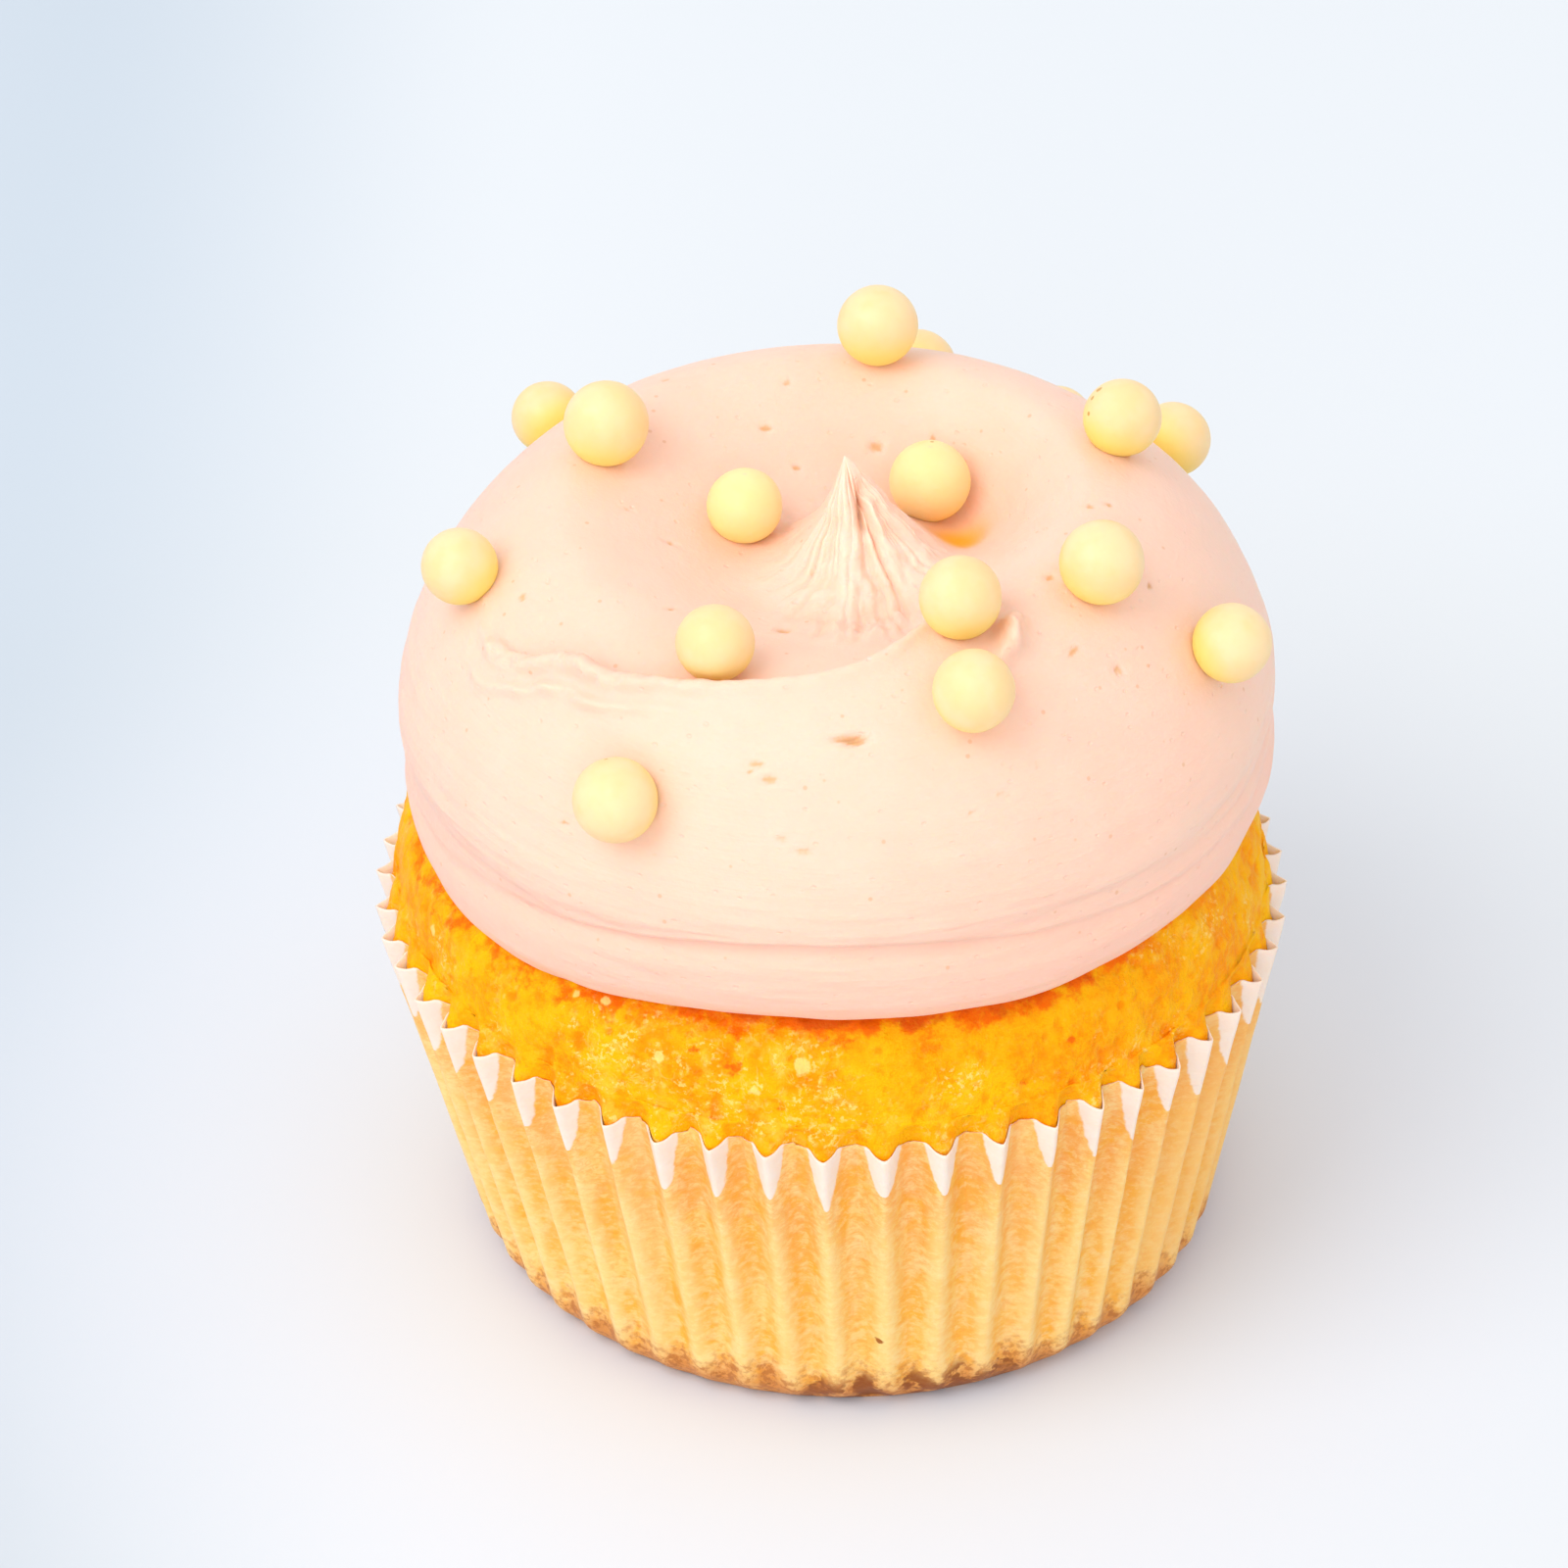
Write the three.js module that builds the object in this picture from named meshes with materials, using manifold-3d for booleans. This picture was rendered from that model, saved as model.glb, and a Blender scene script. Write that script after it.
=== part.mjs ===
// A cupcake: a pleated paper case, a domed sponge, a swirl of frosting pulled up to a peak,
// and round sugar pearls. Millimetres and degrees, +Z up, origin at the middle of the base,
// the shown side towards -Y. Turns are counted from +X towards +Y.
import * as THREE from 'three';
import { mergeVertices } from 'three/addons/utils/BufferGeometryUtils.js';
import Module from 'manifold-3d';

// Fit between pieces that touch
const CONTACT_GAP = 0.3;

// Paper case
const PLEATS = 52;
const RIM_HEIGHT = 29;
const RIM_RADIUS = 34.8; // outward folds at the rim
const WALL_FOOT_RADIUS = 28.4; // outward folds, the wall line carried down to the floor
const RIM_PLEAT_DEPTH = 1.9;
const FOOT_PLEAT_DEPTH = 0.7;
const PAPER_THICKNESS = 0.4;
const BASE_SHIFT = [1.2, -0.1]; // the base stands a little off the middle of the rim
const BASE_FLAT_RADIUS = 27;
const CORNER_STEPS = [[0.7, 0.5], [2.4, 1]]; // height, and how much of the way out to the wall
const FIRST_FOLD_TURN = 268.7;
const PLEAT_CROWDING = { turn: 294, reach: 30, push: 1.6 }; // folds pushed together at front right
// One pleat from its outward fold: share of the pleat's width, and how far the paper lies out
const PLEAT_SECTION = [[0, 1], [0.19, 0.5], [0.36, 0], [0.64, 0], [0.81, 0.5]];

// Sponge
const SPONGE_EDGE_HEIGHT = 30.6;
const SPONGE_EDGE_RADIUS = 33.0;
const SPONGE_CROWN_HEIGHT = 46.2;
const SPONGE_SHOULDER = [2.6, 2.1]; // powers of the dome's section
const SPONGE_SIDE_TOP = 29.5;
const LEAN_FADE = 1 / 9; // outer share of the dome over which the frosting's lean dies away
const DOME_RADII = [32.2, 31, 29.2, 24, 15];
const FROSTED_RADII = [15, 24, 28.2]; // where the frosting lies on the dome
const FOLD_FILL = { height: 24, rim: 0.3 }; // sponge fills the folds up to here, then shrinks from them

// Frosting, before it leans
const FROSTING_CENTRE = [0.4, -0.3];
const LEAN = 2.84; // right side up, about a line through the frosting's foot
const LEAN_HEIGHT = 45;
const WIDEST_RADIUS = 32.75;
const WIDEST_HEIGHT = 47.6;
const CREST_RADIUS = 19.4;
const CREST_HEIGHT = 63.8;
const SHOULDER_POWER = 1.65;
const FOOT_ROLL = { radius: 30.4, height: 43.4, out: 2.2, down: 4, belowSeam: 1.2 };
const FOOT_SAG = 0.9; // how much lower the roll hangs, but for two places
const FOOT_SAGS_LEFT = { turn: 212, reach: 40, more: 0.9 };
const FOOT_LIFTS_FRONT = { turn: 258, reach: 38, less: 0.95 };
const FOOT_SWEEPS = [80, 58, 36]; // degrees below level round the lowest roll
const SEAM = { turn: 264, height: 46.6, drop: 3.3, reach: 62, plainShare: 0.4 };
const SEAM_SECTION = [[-0.9, 0.5], [0, 1], [0.8, 0.15]]; // height from the seam, how far in
const SHOULDER_ROWS = [0.12, 0.24, 0.36, 0.48, 0.61, 0.74, 0.88];
const SHOULDER_CROWDING = 1.2;
// Rows inside the lip: share of its radius, and how much coarser they are round
const WELL_ROWS = [[0.82, 1], [0.64, 1], [0.48, 1], [0.34, 1], [0.23, 2], [0.14, 2], [0.07, 4], [0.03, 4]];
const WELL_DEPTH = { plain: 6, right: 1.6 };
const WELL_FLOOR_RADIUS = { plain: 4.5, right: 5.5 };
const WELL_SIDE = { turn: 35, reach: 80 }; // where the well is wider and its wall steeper
const FROSTING_COLUMNS = 72;

// The lip, where the last turn of frosting lies over the one below
const LIP_POINTS = [[30, 17.5], [90, 21], [145, 25.2], [200, 26.2], [222, 24.9], [245, 23.4],
  [268, 21.9], [283, 20.2], [299, 16.9], [320, 13.5], [345, 14]]; // turn, radius
const LIP_STEP = { height: 2.8, from: 192, full: 245, fades: 298, gone: 326, centre: 2 };
const LIP_WALL = 0.9;
const LIP_BEAD = { height: 0.3, width: 0.8 };
const LIP_SAMPLES = 576;

// The pulled peak
const PEAK_OFFSET = [1.5, 0.4];
const PEAK_HEIGHT = 67.1;
const PEAK_FLOOR = 57.8;
const PEAK_FLANK = { plain: 2.7, right: 2.6, power: 0.3 };
const PEAK_SIDE = { turn: 330, reach: 150 };
const PEAK_RIDGES = { count: 13, height: 0.45, turn: 285, reach: 105, grown: 3, end: 9.5, fade: 4 };

// Pearls: turn, distance from the frosting's middle, diameter, how deep it is pressed in
const PEARLS = [
  [131.6, 30.5, 5.65, 0.5], [156.2, 18.1, 6.45, 0.5], [77.8, 19.4, 6.15, 0.5], [78.4, 31.6, 6, 0.5],
  [16.4, 22, 5.85, 0.5], [39.4, 31.6, 5.85, 0.5], [159.9, 8, 5.7, 0.5], [49, 12, 6.2, 0.5],
  [190.8, 25.8, 5.7, 0.5], [246, 19.4, 5.75, 0.4], [299.2, 19.6, 6.05, 0.6], [328.2, 22.3, 6.25, 0.5],
  [337.2, 29.5, 5.9, 0.5], [292.8, 25.1, 6.05, 0.5], [240.8, 29.8, 6.25, 1.1], [119, 32.6, 5.9, 0.6],
  [60, 32.6, 5.9, 0.6],
];
const PLACING = { step: 0.4, turn: 1 }; // how far round a pearl the frosting's slope is taken
const PEARL_SIDES = 10;
const PEARL_BANDS = 7;

const FINISHES = {
  paper_case: { color: 0xf3c98a, roughness: 0.7 },
  sponge: { color: 0xf5b231, roughness: 0.85 },
  frosting: { color: 0xfbdcc0, roughness: 0.5 },
  pearl: { color: 0xfbe9a0, roughness: 0.35 },
};

const DEG = Math.PI / 180;
const TURN = 360;

function easeStep(share) {
  const t = THREE.MathUtils.clamp(share, 0, 1);
  return t * t * (3 - 2 * t);
}

function turnsApart(a, b) {
  return Math.abs(THREE.MathUtils.euclideanModulo(a - b + TURN / 2, TURN) - TURN / 2);
}

// 1 at the given turn, easing to 0 at its reach on both sides
function hump(turn, { turn: at, reach }) {
  return 0.5 * (1 + Math.cos(Math.PI * Math.min(turnsApart(turn, at) / reach, 1)));
}

function polar(radius, turn, height, [cx, cy] = [0, 0]) {
  return new THREE.Vector3(cx + radius * Math.cos(turn * DEG), cy + radius * Math.sin(turn * DEG), height);
}

// Closed skin through rings of points, each ring counter-clockwise; a ring of one point ends it
function skin(rings) {
  const corners = rings.flat();
  const faces = [];
  let start = 0;
  for (let r = 0; r + 1 < rings.length; r++) {
    const lower = rings[r].length;
    const upper = rings[r + 1].length;
    const next = start + lower;
    let i = 0;
    let j = 0;
    while (i < lower || j < upper) {
      const stepLower = j === upper || (i < lower && (i + 1) * upper <= (j + 1) * lower);
      const a = start + (i % lower);
      const b = next + (j % upper);
      if (stepLower) {
        i += 1;
        if (lower > 1) faces.push(a, start + (i % lower), b);
      } else {
        j += 1;
        if (upper > 1) faces.push(a, next + (j % upper), b);
      }
    }
    start = next;
  }
  const geometry = new THREE.BufferGeometry();
  geometry.setAttribute('position', new THREE.Float32BufferAttribute(corners.flatMap((p) => p.toArray()), 3));
  geometry.setIndex(faces);
  return geometry;
}

function ringOf(count, place) {
  return Array.from({ length: count }, (_, k) => place((k * TURN) / count, k));
}

// The fold lines round the case: turn of each column, and how far out its paper lies
const foldColumns = [];
for (let pleat = 0; pleat < PLEATS; pleat++) {
  for (const [share, out] of PLEAT_SECTION) {
    const even = FIRST_FOLD_TURN - TURN + ((pleat + share) * TURN) / PLEATS;
    foldColumns.push({ turn: even + PLEAT_CROWDING.push * hump(even, PLEAT_CROWDING), out });
  }
}

// Ring round the paper at one height, moved inwards by inset
function foldedRing(height, inset, outward = 1, foldShare = 1) {
  const rise = height / RIM_HEIGHT;
  const depth = FOOT_PLEAT_DEPTH + (RIM_PLEAT_DEPTH - FOOT_PLEAT_DEPTH) * rise;
  const valley = WALL_FOOT_RADIUS + (RIM_RADIUS - WALL_FOOT_RADIUS) * rise - depth;
  const centre = BASE_SHIFT.map((shift) => shift * (1 - rise));
  return foldColumns.map(({ turn, out }) => {
    const wall = valley + depth * out * foldShare - inset;
    const radius = BASE_FLAT_RADIUS - inset + (wall - BASE_FLAT_RADIUS + inset) * outward;
    return polar(radius, turn, height, centre);
  });
}

function paperCase() {
  const floor = PAPER_THICKNESS;
  const outside = CORNER_STEPS.map(([height, outward]) => foldedRing(height, 0, outward));
  const [, [wallStart]] = CORNER_STEPS;
  return skin([
    [polar(0, 0, 0, BASE_SHIFT)],
    foldedRing(0, 0, 0),
    ...outside,
    foldedRing(RIM_HEIGHT, 0),
    foldedRing(RIM_HEIGHT, PAPER_THICKNESS),
    foldedRing(wallStart + floor, PAPER_THICKNESS),
    foldedRing(floor, PAPER_THICKNESS, 0),
    [polar(0, 0, floor, BASE_SHIFT)],
  ]);
}

// Height of the baked top at a distance from the axis, leaning with the frosting in the middle
function domeHeight(x, y) {
  const out = Math.min(Math.hypot(x, y) / SPONGE_EDGE_RADIUS, 1);
  const [around, over] = SPONGE_SHOULDER;
  const dome = (1 - out ** around) ** (1 / over);
  const lean = x * Math.sin(LEAN * DEG) * easeStep((1 - out) / LEAN_FADE);
  return SPONGE_EDGE_HEIGHT + (SPONGE_CROWN_HEIGHT - SPONGE_EDGE_HEIGHT) * dome + lean;
}

function sponge() {
  const inset = PAPER_THICKNESS + CONTACT_GAP;
  const floor = inset;
  const [, [wallStart]] = CORNER_STEPS;
  const dome = DOME_RADII.map((radius) => ringOf(PLEATS, (_, k) => {
    const { turn } = foldColumns[k * PLEAT_SECTION.length];
    const point = polar(radius, turn, 0);
    point.z = domeHeight(point.x, point.y);
    return point;
  }));
  return skin([
    [polar(0, 0, floor, BASE_SHIFT)],
    foldedRing(floor, inset, 0),
    foldedRing(wallStart + floor, inset),
    foldedRing(FOLD_FILL.height, inset),
    foldedRing(SPONGE_SIDE_TOP, inset, 1, FOLD_FILL.rim),
    ...dome,
    [new THREE.Vector3(0, 0, domeHeight(0, 0))],
  ]);
}

// Radius of the lip at a turn: a smooth closed line through the lip's points
const lipLine = new THREE.CatmullRomCurve3(
  LIP_POINTS.map(([turn, radius]) => polar(radius, turn, 0)), true, 'centripetal');
const lipTrace = lipLine.getSpacedPoints(LIP_SAMPLES).map((p) => (
  [THREE.MathUtils.euclideanModulo(Math.atan2(p.y, p.x) / DEG, TURN), Math.hypot(p.x, p.y)]));

function lipRadius(turn) {
  const at = THREE.MathUtils.euclideanModulo(turn, TURN);
  const [, radius] = lipTrace.reduce((best, spot) => (
    turnsApart(spot[0], at) < turnsApart(best[0], at) ? spot : best));
  return radius;
}

function lipStep(turn) {
  const rise = easeStep((turn - LIP_STEP.from) / (LIP_STEP.full - LIP_STEP.from));
  const fade = easeStep((turn - LIP_STEP.fades) / (LIP_STEP.gone - LIP_STEP.fades));
  return LIP_STEP.height * rise * (1 - fade);
}

// Rolled shoulder, crest and the well in the middle, with neither lip nor peak
function shoulderHeight(radius, turn) {
  if (radius >= CREST_RADIUS) {
    const out = Math.min((radius - CREST_RADIUS) / (WIDEST_RADIUS - CREST_RADIUS), 1);
    const up = (1 - out ** SHOULDER_POWER) ** (1 / SHOULDER_POWER);
    return WIDEST_HEIGHT + (CREST_HEIGHT - WIDEST_HEIGHT) * up;
  }
  const side = hump(turn, WELL_SIDE);
  const floorRadius = WELL_FLOOR_RADIUS.plain + WELL_FLOOR_RADIUS.right * side;
  const floor = CREST_HEIGHT - WELL_DEPTH.plain - WELL_DEPTH.right * side;
  const inward = easeStep((CREST_RADIUS - radius) / (CREST_RADIUS - floorRadius));
  const middle = (PEAK_FLOOR - floor) * (1 - easeStep(radius / floorRadius));
  return CREST_HEIGHT + (floor - CREST_HEIGHT) * inward + middle;
}

function peakHeight(radius, turn) {
  const side = hump(turn, PEAK_SIDE);
  const flank = PEAK_FLANK.plain + PEAK_FLANK.right * side;
  const cone = Math.exp(-((radius / flank) ** (1 + PEAK_FLANK.power * side)));
  const { count, height, grown, end, fade } = PEAK_RIDGES;
  const ridged = height * hump(turn, PEAK_RIDGES) * Math.cos(count * turn * DEG);
  const shown = easeStep(radius / grown) * easeStep((end - radius) / fade);
  return (PEAK_HEIGHT - PEAK_FLOOR) * cone + ridged * shown;
}

function frostingHeight(radius, turn) {
  const lip = lipRadius(turn);
  const step = lipStep(turn);
  const past = lip - radius;
  const inside = easeStep((radius - LIP_STEP.centre) / (lip - LIP_STEP.centre));
  const sunk = step * easeStep(past / LIP_WALL) * inside;
  const bead = (LIP_BEAD.height * step / LIP_STEP.height)
    * Math.exp(-(((past + LIP_BEAD.width / 2) / LIP_BEAD.width) ** 2));
  return shoulderHeight(radius, turn) - sunk + bead + peakHeight(radius, turn);
}

// From the frosting's own upright frame to where it leans on the sponge
function leaned(point) {
  const [cx, cy] = FROSTING_CENTRE;
  const pivot = new THREE.Vector3(cx, cy, LEAN_HEIGHT);
  const axis = new THREE.Vector3(0, 1, 0);
  return point.setZ(point.z - LEAN_HEIGHT).applyAxisAngle(axis, -LEAN * DEG).add(pivot);
}

// The rings close in on the peak, which stands a little off the frosting's middle
function topPoint(radius, turn) {
  const pull = 1 - easeStep(radius / CREST_RADIUS);
  return leaned(polar(radius, turn, frostingHeight(radius, turn), PEAK_OFFSET.map((d) => d * pull)));
}

function seamHeight(turn) {
  return SEAM.height - SEAM.drop * (1 - hump(turn, SEAM));
}

function footSag(turn) {
  const left = FOOT_SAGS_LEFT.more * hump(turn, FOOT_SAGS_LEFT);
  return FOOT_SAG + left - FOOT_LIFTS_FRONT.less * hump(turn, FOOT_LIFTS_FRONT);
}

// The roll hangs round the foot, and where it sags far enough it lies on the baked top
function footPoint(sweep, turn) {
  const { radius, height, out, down, belowSeam } = FOOT_ROLL;
  const top = seamHeight(turn) - belowSeam;
  const level = height - footSag(turn) - down * Math.sin(sweep * DEG);
  const point = leaned(polar(radius + out * Math.cos(sweep * DEG), turn, Math.min(level, top)));
  return point.setZ(Math.max(point.z, domeHeight(point.x, point.y) + CONTACT_GAP));
}

function frostingBody() {
  const around = (place, coarser = 1) => ringOf(FROSTING_COLUMNS / coarser, (turn) => place(turn));
  const under = FROSTED_RADII.map((radius) => around((turn) => {
    const point = polar(radius, turn, 0);
    point.z = domeHeight(point.x, point.y) + CONTACT_GAP;
    return point;
  }));
  const seam = ([above, inward]) => around((turn) => {
    const share = SEAM.plainShare + (1 - SEAM.plainShare) * hump(turn, SEAM);
    return leaned(polar(WIDEST_RADIUS - inward * share, turn, seamHeight(turn) + above));
  });
  const wallRadius = (turn, share) => {
    const lip = lipRadius(turn);
    const run = Math.cos(share * 90 * DEG) ** SHOULDER_CROWDING;
    return lip + LIP_WALL + (WIDEST_RADIUS - lip - LIP_WALL) * run;
  };
  return skin([
    [new THREE.Vector3(0, 0, domeHeight(0, 0) + CONTACT_GAP)],
    ...under,
    ...FOOT_SWEEPS.map((sweep) => around((turn) => footPoint(sweep, turn))),
    ...SEAM_SECTION.map(seam),
    around((turn) => leaned(polar(WIDEST_RADIUS, turn, WIDEST_HEIGHT))),
    ...SHOULDER_ROWS.map((share) => around((turn) => topPoint(wallRadius(turn, share), turn))),
    ...[LIP_WALL / 2, 0, -LIP_WALL / 2, -LIP_WALL].map((past) => (
      around((turn) => topPoint(lipRadius(turn) + past, turn)))),
    ...WELL_ROWS.map(([share, coarser]) => (
      around((turn) => topPoint((lipRadius(turn) - LIP_WALL) * share, turn), coarser))),
    [topPoint(0, 0)],
  ]);
}

function pearlPlace([turn, radius, diameter, pressed]) {
  const here = topPoint(radius, turn);
  const across = topPoint(radius + PLACING.step, turn).sub(topPoint(radius - PLACING.step, turn));
  const along = topPoint(radius, turn + PLACING.turn).sub(topPoint(radius, turn - PLACING.turn));
  const upwards = across.cross(along).normalize();
  return here.addScaledVector(upwards, diameter / 2 - pressed);
}

function ball(radius) {
  const sphere = new THREE.SphereGeometry(radius, PEARL_SIDES, PEARL_BANDS);
  sphere.rotateX(Math.PI / 2);
  sphere.deleteAttribute('normal');
  sphere.deleteAttribute('uv');
  return mergeVertices(sphere);
}

const wasm = await Module();
wasm.setup();

function toSolid(geometry) {
  const vertProperties = new Float32Array(geometry.attributes.position.array);
  const triVerts = new Uint32Array(geometry.index.array);
  return new wasm.Manifold(new wasm.Mesh({ numProp: 3, vertProperties, triVerts }));
}

function toGeometry(solid) {
  const mesh = solid.getMesh();
  const geometry = new THREE.BufferGeometry();
  geometry.setAttribute('position', new THREE.BufferAttribute(mesh.vertProperties, 3));
  geometry.setIndex(new THREE.BufferAttribute(mesh.triVerts, 1));
  return geometry;
}

// The frosting with the dent that each pearl presses into it
function frosting() {
  let body = toSolid(frostingBody());
  for (const pearl of PEARLS) {
    const dent = ball(pearl[2] / 2 + CONTACT_GAP);
    dent.translate(...pearlPlace(pearl).toArray());
    body = body.subtract(toSolid(dent));
  }
  return toGeometry(body);
}

function addPiece(group, name, geometry, finish) {
  geometry.computeVertexNormals();
  const mesh = new THREE.Mesh(geometry, new THREE.MeshStandardMaterial({ ...finish, metalness: 0 }));
  mesh.name = name;
  group.add(mesh);
  return mesh;
}

const cupcake = new THREE.Group();
addPiece(cupcake, 'paper_case', paperCase(), FINISHES.paper_case);
addPiece(cupcake, 'sponge', sponge(), FINISHES.sponge);
addPiece(cupcake, 'frosting', frosting(), FINISHES.frosting);
PEARLS.forEach((pearl, k) => {
  const name = `pearl_${String(k + 1).padStart(2, '0')}`;
  addPiece(cupcake, name, ball(pearl[2] / 2), FINISHES.pearl).position.copy(pearlPlace(pearl));
});

export default cupcake;
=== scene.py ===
import math

import bpy
import numpy as np
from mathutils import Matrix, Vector


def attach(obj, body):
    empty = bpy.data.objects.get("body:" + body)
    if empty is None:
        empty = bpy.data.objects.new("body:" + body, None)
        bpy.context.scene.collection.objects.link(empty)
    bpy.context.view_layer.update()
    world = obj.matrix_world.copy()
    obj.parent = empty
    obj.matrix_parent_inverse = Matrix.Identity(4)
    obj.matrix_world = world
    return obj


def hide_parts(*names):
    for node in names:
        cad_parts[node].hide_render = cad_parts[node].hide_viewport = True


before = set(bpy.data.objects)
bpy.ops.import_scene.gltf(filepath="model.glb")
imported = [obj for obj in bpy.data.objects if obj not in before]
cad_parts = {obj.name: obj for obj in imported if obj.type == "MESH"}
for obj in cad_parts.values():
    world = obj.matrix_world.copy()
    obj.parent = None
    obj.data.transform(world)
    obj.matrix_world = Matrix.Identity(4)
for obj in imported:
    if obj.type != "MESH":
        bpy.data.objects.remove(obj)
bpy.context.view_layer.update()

# A cupcake in its pleated paper case. Sizes are in millimetres and turns in degrees, counted
# from +X towards +Y, as in the part's source; the meshes are written in metres.
MM = 0.001

# Paper case
PLEATS = 52
RIM_HEIGHT = 29.0
RIM_RADIUS = 34.78
WALL_FOOT_RADIUS = 28.4
RIM_PLEAT_DEPTH = 2.1
FOOT_PLEAT_DEPTH = 0.7
PAPER_THICKNESS = 0.14
BASE_SHIFT = (1.2, -0.1)
BASE_FLAT_RADIUS = 27.0
CORNER_HEIGHT = 2.4
FIRST_FOLD_TURN = 268.7
PLEAT_CROWDING = dict(at=294.0, reach=30.0, push=1.6)
# The dry tongue of paper at each fold: its length in millimetres, its width as a share of the pleat
TONGUE = dict(length=5.2, half_width=0.3, narrows=0.6, blunt=5)
TONGUE_VARIES = dict(length=0.9, half_width=0.035, aside=0.035, blunt=3)
CUT_EDGE = dict(point=0.28, fold=0.1, pleat=0.22, ripple=0.12, below=0.1)
FOOT_NOTCH = dict(at=274.2, reach=3.4, deep=0.8, tall=2.6)

# Sponge
SPONGE_INSET = 0.7
SPONGE_EDGE_HEIGHT = 30.6
SPONGE_EDGE_RADIUS = 33.0
SPONGE_CROWN_HEIGHT = 46.2
SPONGE_SHOULDER = (2.6, 2.1)
FOLD_FILL_HEIGHT = 24.0
# The band of painted shade on the crumb under the frosting's overhang
FROSTING_SHADE_BAND = dict(at=285, reach=80, below_foot=0.6, height=3.4)
CRUMB_RELIEF = dict(fine=0.18, fine_size=1.4, broad=0.24, broad_size=4.5, cells=0.5, cell_size=1.1, pits=0.7)
CRUMB_EDGE = dict(radius=33.35, full_height=26.0, front=1.1, front_reach=115)
CONTACT_GAP = 0.3

# Frosting, before it leans
FROSTING_CENTRE = (0.4, -0.3)
LEAN = math.radians(2.84)
LEAN_HEIGHT = 45.0
WIDEST_RADIUS = 32.75
WIDEST_HEIGHT = 47.6
CREST_RADIUS = 19.4
CREST_HEIGHT = 63.8
SHOULDER_POWER = 1.65
FOOT_ROLL = dict(radius=30.4, height=43.4, out=2.2, down=4.0)
FOOT_SAG = 0.9
FOOT_SAGS_LEFT = dict(at=212, reach=40, more=0.9)
FOOT_LIFTS_FRONT = dict(at=258, reach=38, less=0.95)
SEAM = dict(at=264.0, height=46.6, drop=3.3, reach=62.0)
WELL_DEPTH = (6.0, 1.6)
WELL_FLOOR_RADIUS = (4.5, 5.5)
WELL_SIDE = (35.0, 80.0)
LIP_POINTS = ((30, 17.5), (90, 21), (145, 25.2), (200, 26.2), (222, 24.9), (245, 23.4),
              (268, 21.9), (283, 20.2), (299, 16.9), (320, 13.5), (345, 14))
LIP_STEP = dict(height=2.8, start=192.0, full=245.0, fades=298.0, gone=326.0)
LIP_WALL = 0.9
PEAK_OFFSET = (1.5, 0.4)
PEAK_HEIGHT = 67.1
PEAK_FLOOR = 57.8
PEAK_FLANK = (2.7, 2.6)
PEAK_SIDE = (330.0, 150.0)
PEAK_SKIRT = dict(plain=8.5, at=281, reach=66, more=6.5)
PEAK_CLEFT = dict(turn=298, middle=2.7, half_length=1.2, half_width=0.55, depth=1.2)
# The hollow beside pearl 8: a shallow dent whose colour is a painted orange glow of light coming through the
# frosting
ORANGE_HOLLOW = dict(turn=22, radius=9.4, half_width=2.1, depth=0.3)
# Frosting smeared against a pearl: turn, distance from the middle, height, half width
SMEARS = ((306.9, 21.9, 1.9, 0.85), (304.6, 22.8, 1.4, 0.85), (301.6, 23.4, 0.9, 0.7),
          (309.4, 21.2, 0.9, 0.6))

# Pearls: turn, distance from the frosting's middle, diameter, how deep it is pressed in
PEARLS = (
    (131.6, 30.5, 5.65, 0.5), (156.2, 18.1, 6.45, 0.5), (77.8, 19.4, 6.15, 0.5),
    (78.4, 31.6, 6.0, 0.5), (16.4, 22.0, 5.85, 0.5), (39.4, 31.6, 5.85, 0.5),
    (159.9, 8.0, 5.7, 0.5), (49.0, 12.0, 6.2, 0.5), (190.8, 25.8, 5.7, 0.5),
    (246.0, 19.4, 5.75, 0.4), (299.2, 19.6, 6.05, 0.6), (328.2, 22.3, 6.25, 0.5),
    (337.2, 29.5, 5.9, 0.5), (292.8, 25.1, 6.05, 0.5), (240.8, 29.8, 6.25, 1.1),
    (119.0, 32.6, 5.9, 0.6), (60.0, 32.6, 5.9, 0.6),
)
PEARL_HOLD = 0.965
# Brown specks on pearls: the pearl's number, turn and rise on it, half width
SHELL_SPECKS = ((5, 168, 52, 0.3), (5, 182, 38, 0.26), (5, 200, 20, 0.2), (8, 80, 74, 0.22),
                (15, 120, 66, 0.22))

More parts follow.
